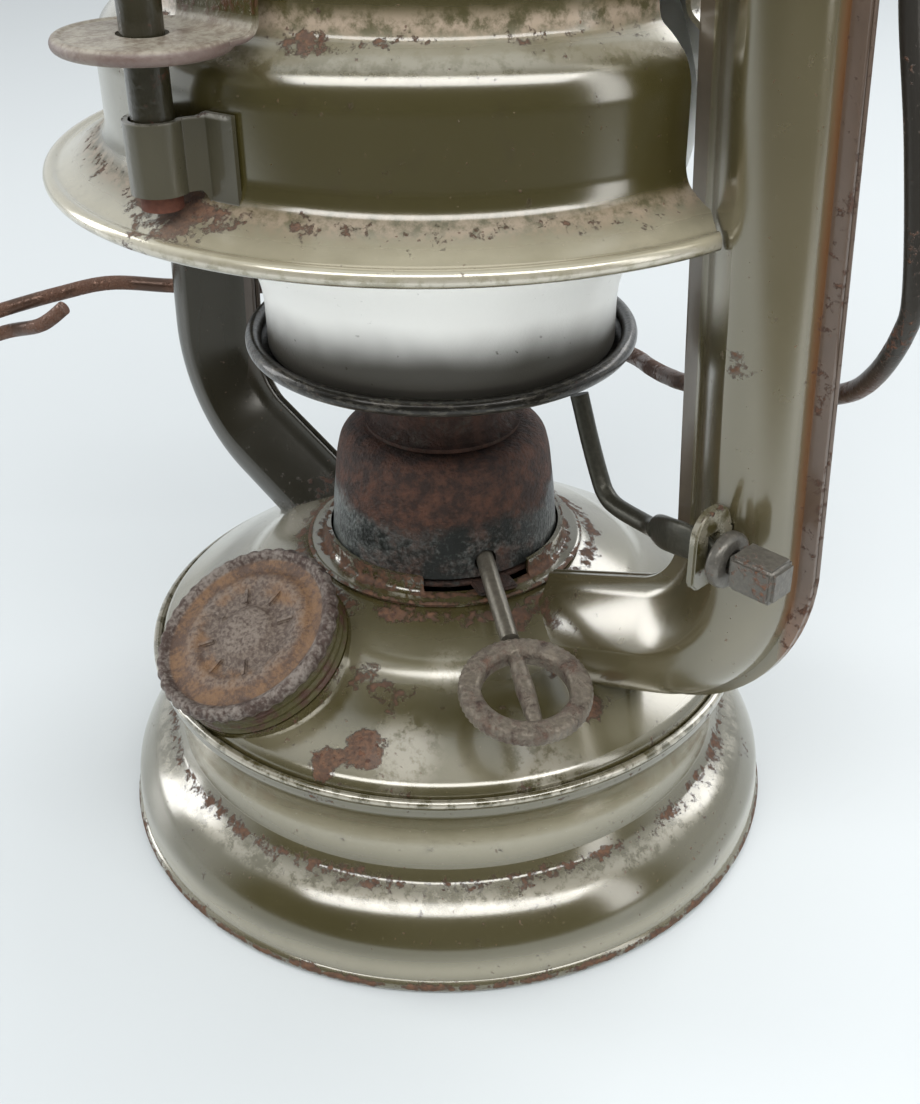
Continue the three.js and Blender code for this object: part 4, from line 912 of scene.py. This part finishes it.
def makeChimney():
    sooty = enamel("sootyEnamel", bands=[(168, 6, 0.6)], speckle=0.8, worn=0.2)
    finishPiece("chimney", sheet(chimneyLine, 2, 112), sooty, "crown")
    c = crown
    turns = [360 * i / c["holes"] for i in range(c["holes"])]
    vents = [rod(at(c["holeFrom"], turn, c["holeZ"]), at(c["holeTo"], turn, c["holeZ"]), c["hole"], 24)
             for turn in turns]
    top = enamel("crownEnamel", bands=[(243, 4, 0.6), (228, 3, 0.5)], speckle=0.6)
    band = cutAway(sheet(c["band"], 1.2, 132), together(*vents))
    finishPiece("crown_band", band, top, "crown")
    finishPiece("crown_hood", sheet(c["hood"], 2.4), top, "crown")
    wireSteel = wireFinish("ringSteel", paint["steel"], 0.3)
    roof, high, half = staple["roof"], staple["high"], staple["half"]
    arch = [(0, half * y, roof + high * z) for y, z in staple["archShares"]]
    finishPiece("ring_staple", wire(arch, staple["wire"], wireSteel, 48), wireSteel, "crown")
    lie = Matrix.Translation((0, 0, ring["z"])) @ Matrix.Rotation(math.radians(ring["lean"]), 4, "X") @ \
        Matrix.Translation((0, -ring["r"], 0))
    hoop = wire([at(ring["r"], 15 * k, 0) for k in range(24)], ring["wire"], wireSteel, 96, 14, closed=True)
    finishPiece("lift_ring", hoop, wireSteel, "ring", lie)
    # the globe's lift presses the spring's upper turns together, the chimney's own lift the lower ones; here
    # the spring is only made in two pieces, the upper turns on the frame and the lower ones on the glass
    s = spring
    coil = [at(s["r"], 15 * k, s["low"] + (s["high"] - s["low"]) * k / 96) for k in range(97)]
    for name, turns, body, joint, travel in (
            ("chimney_spring", coil[s["split"]:], "frame", "globe_lift", 10),
            ("chimney_spring_low", coil[:s["split"] + 1], "glass", "chimney_lift", 8)):
        piece = finishPiece(name, wire(turns, s["wire"], wireSteel, 240, 10), wireSteel, body)
        top = turns[-1].z
        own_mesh(piece)


# Globe and its plate
globeLine = [(27.6, 90.4), (27.8, 99), (29.6, 105), (34.2, 112), (37.6, 121), (37.9, 129), (35, 140),
             (29.6, 152), (24.8, 161), (22.1, 166), (21.6, 169)]
globePlate = {"line": [(30.7, 90.8), (29.9, 89.6), (23.6, 86.6), (12.4, 86.6), (11.6, 87.4), (11.6, 89.6)],
              "vents": 8, "ventsR": 17.6, "vent": 1.6, "ventLow": 80, "ventHigh": 93}


def makeGlobe():
    globe = turned(sheetOutline(smoothLine(globeLine, 7), 1.5), 192)
    finishPiece("globe", globe, frostedGlass(), "glass", sharp=60)
    p = globePlate
    plate = sheet(p["line"], 1.2, 192, 1.3)
    turns = [360 / p["vents"] * (i + 0.5) for i in range(p["vents"])]
    vents = [rod(at(p["ventsR"], turn, p["ventLow"]), at(p["ventsR"], turn, p["ventHigh"]), p["vent"], 20)
             for turn in turns]
    f = Finish("plateEnamel")
    mid, fine = f.noise(5, 6, 0.65), f.noise(0.8, 4, 0.6)
    scratch = f.step(f.noise(2.0, 4, 0.7, stretch=(1, 1, 3)), 0.50, 0.60)
    rim = f.step(f.r, 29.6, 30.8)
    rust = f.step(mid * 0.6 + fine * 0.4 + f.band(f.z, 88.6, 1.5) * 0.08, 0.60, 0.68)
    colour = f.blend(scratch * rim * 0.4, (0.016, 0.014, 0.010), (0.14, 0.125, 0.10))
    colour = f.blend(rust * 0.8, colour, f.blend(fine, paint["rustDark"], paint["rust"]))
    dark = f.done(Base_Color=colour, Roughness=f.level(rust, mid * 0.2 + 0.22, 0.75),
                  Metallic=(1 - rust) * rim * 0.45, Coat_Weight=(1 - rust) * 0.4,
                  Normal=f.bump(mid * 0.35 + fine * 0.4, 0.25))
    finishPiece("globe_plate", cutAway(plate, together(*vents)), dark, "glass")


# Lift lever, its ear on the right tube, and what is riveted on its end
lever = {"wire": 1.45, "bladeThick": 1.7, "tab": 5.4,
         "run": [(28.6, 1.7, 87.4), (29.5, 1.6, 85.2), (31.5, 1.2, 80.8), (34.2, 0.6, 75.8), (36.2, 0, 73.5),
                 (39.5, -1, 72.8), (47.2, -3.2, 73.7), (50.3, -5.6, 75.4)],
         "flat": [(48.5, -4.4, 74.6), (50.5, -6.2, 76.0), (53.3, -8.4, 77.5), (56.4, -10.4, 79),
                  (59.8, -11.5, 80), (62.8, -11.95, 80.4), (65.8, -12.1, 80.5), (68.8, -12.2, 80.5)],
         "flatWide": [2.4, 4.2, 5.3, 5.4, 5.3, 4.6, 2.3, 1.9], "y": -12.2, "z": 80.5, "tabFrom": 68.95,
         "tabTo": 76.1,
         "washer": [(1.8, 66.25), (3.7, 66.25), (4.0, 66.7), (4.0, 67.8), (3.6, 68.3), (1.8, 68.3)]}
earPlate = {"x": 64.1, "thick": 1.3, "y": -12.1, "z": 80.5, "half": 4.0, "low": 75.4, "top": 87.3,
            "slotWide": 1.3, "slotHigh": 3.1, "foot": 4.6, "footDeep": 6.2}


def makeLever():
    grey = wireFinish("leverEnamel", (0.060, 0.057, 0.042), 0.12)
    arm = wire(lever["run"], lever["wire"], grey, 120)
    wides = smoothLine([(w, 0) for w in lever["flatWide"]], 4)
    rings = []
    for centre, (wide, _) in zip(smoothLine(lever["flat"], 4), wides):
        ring = []
        for k in range(24):
            a = 2 * math.pi * k / 24
            c, s = math.cos(a), math.sin(a)
            ring.append(centre + Vector((0, lever["bladeThick"] / 2 * abs(c) ** 0.7 * (1 if c > 0 else -1),
                                         wide / 2 * abs(s) ** 0.75 * (1 if s > 0 else -1))))
        rings.append(ring)
    finishPiece("lift_lever", together(arm, lofted(rings)), grey, "lever", sharp=50)
    worn = wireFinish("leverEndSteel", (0.15, 0.14, 0.12), 0.35)
    y, z, half = lever["y"], lever["z"], lever["tab"] / 2
    across = Matrix.Translation((0, y, z)) @ Matrix.Rotation(math.pi / 2, 4, "Y")
    washer = turned(eased(lever["washer"], 0.3, 3), 48)
    finishPiece("lever_washer", washer, worn, "lever", across)
    tab = edged(block((lever["tabFrom"], y - half, z - half), (lever["tabTo"], y + half, z + half)), 0.7, 3)
    finishPiece("lever_tab", tab, worn, "lever")
    e = earPlate
    crest = e["top"] - e["half"]
    outline = [Vector((e["y"] - e["half"], e["low"] + 1.2)), Vector((e["y"] - e["half"] + 1.2, e["low"])),
               Vector((e["y"] + e["half"] + 0.8, e["low"])), Vector((e["y"] + e["half"] + 0.8, crest))]
    outline += archOver(e["y"], crest, e["half"], 20)
    plate = stood(pressed(outline, -e["thick"] / 2, e["thick"] / 2), e["x"])
    slot = block((e["x"] - 4, e["y"] - e["slotWide"], e["z"] - e["slotHigh"]),
                 (e["x"] + 4, e["y"] + e["slotWide"], e["z"] + e["slotHigh"]))
    foot = block((e["x"] - e["foot"], e["y"] + e["half"] - 0.2, e["low"] + 0.4),
                 (e["x"] + e["thick"] / 2, e["y"] + e["footDeep"], crest))
    finish = enamel("bracketEnamel", bands=[(87, 1.6, 0.8), (78, 3, 0.3)], speckle=0.7,
                    scuffs=[(84, 5, 0.5)], worn=0.9)
    bracket = together(cutAway(edged(plate, 0.3), slot), edged(foot, 0.3))
    finishPiece("lever_bracket", bracket, finish, "frame")


# Shroud with its guide
shroud = {"line": [(57.6, 120.7), (55.4, 121.7), (52.0, 123.2), (49.4, 125.2), (48.6, 127.6), (48.6, 138.2),
                   (47.7, 141.0), (45.4, 143.2), (43.3, 144.6), (42.8, 146.6), (42.8, 185)], "bead": 1.2,
          "slot": 3.1, "slotFrom": 41.4, "slotTo": 70, "slotLow": 110, "slotTop": 150, "tubeClear": 0.6}
guide = {"turn": 6, "r": 54, "rod": 2.7, "low": 124.6, "top": 178, "ear": 11.7, "earDeep": 10.5, "leg": 44.9,
         "nut": [(3.0, 173.4), (4.3, 173.4), (4.3, 177.6), (2.6, 179.8), (0, 180.2), (0, 178.3), (3.0, 178.3),
                 (3.0, 173.4)],
         "disc": [(10.75, 144.85), (9.4, 145.2), (3.4, 145.2)], "legFrom": -3, "legTo": 11,
         "rise": [(-50.5, 145.2), (-47.6, 145.3), (-46.0, 146.1), (-45.5, 148.6), (-45.45, 160),
                  (-45.45, 195)]}
guidePlace = Matrix.Rotation(math.radians(guide["turn"]), 4, "Z")
strap = {"wall": 49.7, "start": [(-3.9, -49.5), (-3.5, -50.6)], "sleeve": 3.4, "sleeveFrom": 148,
         "sleeveTurn": 244, "back": (3.7, -50.5), "after": [5.2, 6, 7.5, 9, 10.3], "thick": 0.75,
         "low": (126.7, 124.7), "high": (135.8, 136.3)}


def makeShroud():
    s = shroud
    shell = sheet(s["line"], 2.2, 192, s["bead"])
    slot = (s["slotFrom"], -s["slot"], s["slotLow"]), (s["slotTo"], s["slot"], s["slotTop"])
    gaps = [turnedRound(gap, turn) for turn in (0, 180) for gap in (block(*slot), tubeRoom(s["tubeClear"]))]
    # the thin bands paint the brim's pale reflection and a pale sheen on the shoulder
    finish = enamel("shroudEnamel", bands=[(144.6, 2.6, 0.42), (124.2, 2.0, 0.5)], speckle=0.4, worn=0.2,
                    spots=[((5, -53, 123), 11, 0.9), ((20, -42, 145), 6, 0.4)],
                    scuffs=[(120.6, 1.1, 0.95), (142.6, 2.2, 0.3)],
                    dusty=[(124.4, 2.0, 0.8), (146.4, 2.8, 1.0)], thin=[(122, 3.2, 0.95), (143.8, 3.0, 0.4)])
    finishPiece("shroud", cutAway(shell, *gaps), finish, "shade")

    steel = wireFinish("rodSteel", (0.045, 0.038, 0.022), 0.3)
    g = guide
    bar = rod((0, -g["r"], g["low"]), (0, -g["r"], g["top"]), g["rod"], 40)
    finishPiece("guide_rod", bar, rodFinish(), "shade", guidePlace)
    finishPiece("guide_rod_nut", turned(eased(g["nut"], 0.5, 3)[:-1], 48), steel, "shade",
                guidePlace @ Matrix.Translation((0, -g["r"], 0)))

    # one strip goes round the rod, where it is lower, and along the wall
    s = strap
    line = [(Vector(point), 0) for point in s["start"]]
    line += [(Vector((0, -g["r"])) + Vector((math.cos(a), math.sin(a))) * s["sleeve"], 0)
             for a in (math.radians(s["sleeveFrom"] + s["sleeveTurn"] * k / 26) for k in range(27))]
    line += [(Vector(s["back"]), 0)]
    line += [(Vector((math.sin(a), -math.cos(a))) * s["wall"], 1) for a in map(math.radians, s["after"])]
    flat = smoothLine([p for p, _ in line], 3)
    share = [w for w, _ in smoothLine([(w, 0) for _, w in line], 3)]
    rings = []
    for i, point in enumerate(flat):
        along = (flat[min(i + 1, len(flat) - 1)] - flat[max(i - 1, 0)]).normalized()
        out = Vector((along.y, -along.x)) * s["thick"] / 2
        wide = max(0.0, min(1.0, share[i]))
        low, high = (s[key][0] + (s[key][1] - s[key][0]) * wide for key in ("low", "high"))
        rings.append([Vector((*(point + out * side), z))
                      for side, z in ((1, low), (1, high), (-1, high), (-1, low))])
    band = edged(lofted(rings), 0.18, 2, 60)
    finishPiece("guide_strap", band, strapFinish(), "shade", guidePlace, 45)

    disc = turned(sheetOutline(eased(g["disc"], 0.4), 1.0, 0.95), 120)
    with editing(disc) as build:
        bmesh.ops.scale(build, vec=(1, g["earDeep"] / g["ear"], 1), verts=build.verts)
        bmesh.ops.translate(build, vec=(0, -g["r"], 0), verts=build.verts)
        cutFlat(build, (0, -g["leg"] - 0.2, 0), (0, 1, 0))
    leg = stood(pressed(sheetOutline(smoothLine(g["rise"], 5), 1.05), g["legFrom"], g["legTo"]), 0)
    ear = together(disc, edged(leg, 0.3, 2))
    finishPiece("guide_ear", ear, earFinish(), "frame", guidePlace, 45)


def strapFinish():
    # smooth dark olive, thin bright edges and a little rust
    f = Finish("strapEnamel")
    broad, mid, fine = f.noise(12, 3, stretch=(1, 1, 0.25)), f.noise(4, 6, 0.62), f.noise(0.8, 3, 0.6)
    edge = f.band(f.z, 136.1, 0.6) + f.band(f.z, 124.9, 0.6)
    rust = f.step(mid * 0.62 + fine * 0.38 + edge * 0.12, 0.64, 0.72)
    colour = f.blend(broad, (0.040, 0.036, 0.021), (0.070, 0.064, 0.042))
    colour = f.blend((edge * f.step(mid, 0.40, 0.55) * 0.7).least(1), colour, paint["bare"])
    colour = f.blend(rust * 0.85, colour, f.blend(fine, paint["rustDark"], paint["rust"]))
    return f.done(Base_Color=colour, Roughness=f.level(rust, mid * 0.15 + 0.22, 0.75),
                  Coat_Weight=(1 - rust) * 0.4, Normal=f.bump(mid * 0.25 + fine * 0.2 + rust * fine, 0.2))


def rodFinish():
    f = Finish("rodEnamel")
    mid, fine = f.noise(4, 6, 0.65), f.noise(0.8, 3)
    low = f.step(f.z, 128.5, 124.5)
    rust = f.step(mid * 0.6 + fine * 0.4 + low * 0.4, 0.56, 0.68)
    colour = f.blend(rust, (0.026, 0.023, 0.012), f.blend(fine, (0.05, 0.014, 0.008), (0.12, 0.04, 0.02)))
    return f.done(Base_Color=colour, Roughness=f.level(rust, 0.3, 0.8), Coat_Weight=(1 - rust) * 0.4,
                  Normal=f.bump(mid * 0.4 + fine * 0.4, 0.25))


def earFinish():
    # pale dust on the disc, a purple brown rolled edge, olive with rust on the leg
    f = Finish("earEnamel")
    mid, fine = f.noise(4, 7, 0.68), f.noise(0.8, 4, 0.6)
    flat = f.step(f.z, 148, 145.5)
    centre = tuple(guidePlace @ Vector((0, -guide["r"], 145)))
    edge = f.step(f.apart(centre), 9.6, 10.8) * f.step(f.z, 145.7, 145.2)
    dust = f.blend(f.step(mid * 0.6 + fine * 0.4, 0.40, 0.60), (0.34, 0.31, 0.25), (0.19, 0.155, 0.12))
    colour = f.blend(flat, paint["olive"], dust)
    colour = f.blend(edge * 0.85, colour, (0.105, 0.068, 0.060))
    rust = f.step(mid * 0.6 + fine * 0.4 + (1 - flat) * 0.10, 0.58, 0.68)
    brown = f.blend(fine, paint["rustDark"], paint["rustBright"])
    colour = f.blend(rust * f.level(flat, 0.85, 0.35), colour, brown)
    return f.done(Base_Color=colour, Roughness=f.level(flat, 0.26, 0.45), Coat_Weight=(1 - flat) * 0.5,
                  Metallic=(1 - flat) * 0.3, Normal=f.bump(mid * 0.5 + fine * 0.5, 0.25))


# Bail, one wire through the right ear
bail = {"wire": 1.45,
        "run": [(62.8, 0, 210.4), (67.3, 0, 210.4), (70.1, 0.4, 208.2), (70.7, 1.6, 200), (70.9, 4, 180),
                (71.4, 4.6, 160), (72.7, 4.8, 149), (76, 4.8, 134), (78.75, 4.8, 117), (78, 5.4, 110.6),
                (73.4, 8.6, 102.4), (67, 12.6, 96.4), (55, 17.6, 90.4), (35, 22.6, 84.2), (27.4, 26, 82),
                (20.4, 30.4, 80), (10, 36.4, 77.8), (-12, 38.6, 77.4), (-38, 31, 77.8), (-60, 15, 77.6),
                (-73, 6.4, 76.6), (-80.6, 0.4, 76.4), (-89.3, -8, 77), (-96.4, -16, 75), (-104, -26, 72),
                (-109.2, -32.6, 69.4), (-111.4, -34.6, 66.6), (-109.2, -31.4, 65), (-103, -25.2, 67.6),
                (-93.4, -22.6, 71), (-88.4, -19.6, 75.2)]}


def makeBail():
    finish = bailFinish()
    finishPiece("bail", wire(bail["run"], bail["wire"], finish, 460, 18), finish, "handle")


def bailFinish():
    # dark steel up the side, copper brown behind the tank and rusty at the free hook
    f = Finish("bailSteel")
    along, fine = f.noise(9, 5, 0.6), f.noise(0.7, 3, 0.6)
    behind = f.step(f.z, 108, 96)
    rust = f.step(along * 0.6 + fine * 0.4 + behind * 0.07, 0.54, 0.64)
    colour = f.blend(behind, (0.042, 0.038, 0.032), f.blend(f.step(along, 0.35, 0.65), (0.075, 0.042, 0.028),
                                                            (0.17, 0.088, 0.055)))
    colour = f.blend(rust, colour, f.blend(fine, paint["rust"], paint["rustBright"]))
    return f.done(Base_Color=colour, Roughness=f.level(rust, 0.32, 0.75), Metallic=(1 - rust) * 0.5,
                  Normal=f.bump(along * 0.2 + fine * 0.3 + rust * fine, 0.2))


# Camera at the photograph's place: position and aim in millimetres, lens on a 36 mm long side
photo = {"from": (156.1, -149.6, 180.5), "to": (1.84, 1.92, 47.27), "lens": 45.92, "roll": 0.61}


def makeCamera():
    back = (Vector(photo["from"]) - Vector(photo["to"])).normalized()
    right = up.cross(back).normalized()
    top = back.cross(right)
    c, s = math.cos(math.radians(photo["roll"])), math.sin(math.radians(photo["roll"]))
    right, top = right * c - top * s, right * s + top * c
    data = bpy.data.cameras.new("camera")
    data.sensor_width, data.lens = 36, photo["lens"]
    data.clip_start, data.clip_end = 0.01, 20
    camera = shown(data)
    turn = Matrix((right, top, back)).transposed().to_4x4()
    camera.matrix_world = Matrix.Translation(Vector(photo["from"]) * mm) @ turn
    bpy.context.scene.camera = camera


# Floor, world and lamps; reflections see a dark room beyond the camera and a pale one all round
studio = {"floor": (0.60, 0.636, 0.648), "sky": (0.765, 0.805, 0.835), "glow": (0.97, 0.985, 1.0),
          "fill": 0.60, "dark": 0.06, "toward": (0.72, -0.69, 0), "shadow": (0.20, 0.34), "reach": 4,
          "lamps": [{"name": "over", "from": (0.40, -0.42, 0.82), "size": (1.5, 0.34), "power": 9.0},
                    {"name": "side", "from": (0.75, 0.15, 0.40), "size": (0.16, 0.7), "power": 1.0},
                    {"name": "low", "from": (0.25, -0.26, 0.04), "size": (0.5, 0.1), "power": 0.4},
                    {"name": "left", "from": (-0.70, -0.35, 0.35), "size": (0.2, 0.6), "power": 2.0},
                    {"name": "back", "from": (0.05, 0.75, 0.60), "size": (0.8, 0.4), "power": 4.0}]}


def lightPath(tree, *kinds):
    # 1 for rays of the named kinds
    path = tree.nodes.new("ShaderNodeLightPath")
    return sum(Channel(tree, path.outputs[f"Is {kind} Ray"]) for kind in kinds).least(1)


def makeStudio():
    floor = bpy.data.meshes.new("floor")
    corners = ((-1, -1), (1, -1), (1, 1), (-1, 1))
    floor.from_pydata([(x * studio["reach"], y * studio["reach"], 0) for x, y in corners], [], [(0, 1, 2, 3)])
    f = Finish("paleFloor")
    wear = f.noise(40, 4) * 0.05
    scratch = f.step(f.noise(5, 5, 0.7, stretch=(1, 0.15, 1)), 0.62, 0.70) * 0.04
    tone = f.blend(wear + scratch, studio["floor"], (0.5, 0.5, 0.5))
    # painted shadow: beyond the camera the floor is painted dark, seen only in reflections, for the dark side
    # of the room
    ahead = (f.x * studio["toward"][0] + f.y * studio["toward"][1]) * mm
    room = f.step(ahead, *studio["shadow"]) * lightPath(f.tree, "Glossy")
    tone = f.blend(room, tone, (studio["dark"],) * 3)
    floor.materials.append(f.done(Base_Color=tone, Roughness=0.38, Specular_IOR_Level=0.3))
    shown(floor)

    world = bpy.data.worlds.new("tent")
    bpy.context.scene.world = world
    world.use_nodes = True
    tree = world.node_tree
    tree.nodes.clear()
    heading = tree.nodes.new("ShaderNodeTexCoord").outputs["Generated"]
    ahead = addNode(tree, "ShaderNodeVectorMath", {"operation": "DOT_PRODUCT"},
                    {0: heading, 1: studio["toward"]})
    rise = addNode(tree, "ShaderNodeSeparateXYZ", inputs={0: heading}).outputs[2]
    room = smoothStep(tree, ahead.outputs["Value"], 0.05, 0.4) * smoothStep(tree, rise, 0.985, 0.90)
    seen, glossy = lightPath(tree, "Camera", "Transmission"), lightPath(tree, "Glossy")
    strength = (glossy * (1 - room * (1 - studio["dark"])) + seen).least(1)
    pale = addNode(tree, "ShaderNodeBackground", inputs={"Color": studio["sky"], "Strength": strength})
    soft = addNode(tree, "ShaderNodeBackground", inputs={"Color": studio["glow"], "Strength": studio["fill"]})
    mixed = addNode(tree, "ShaderNodeMixShader", inputs={0: (seen + glossy).least(1), 1: soft, 2: pale})
    addNode(tree, "ShaderNodeOutputWorld", inputs={0: mixed})

    for lamp in studio["lamps"]:
        light = bpy.data.lights.new(lamp["name"], "AREA")
        light.shape = "RECTANGLE"
        light.size, light.size_y = lamp["size"]
        light.energy = lamp["power"]
        obj = shown(light)
        obj.location = lamp["from"]
        toward = Vector((0, 0, 0.1)) - Vector(lamp["from"])
        obj.rotation_euler = toward.to_track_quat("-Z", "Y").to_euler()
        obj.visible_glossy = lamp["name"] != "low"


bpy.context.scene.view_settings.view_transform = "Standard"
makeCamera()
makeStudio()
print("studio ready")
makeTank()
makeFiller()
print("tank and filler ready")
makeBurner()
print("burner ready")
makeTubes()
makeCanopy()
makeChimney()
print("tubes, canopy and crown ready")
makeGlobe()
makeLever()
makeShroud()
makeBail()
print("globe, lever, shroud and bail ready")
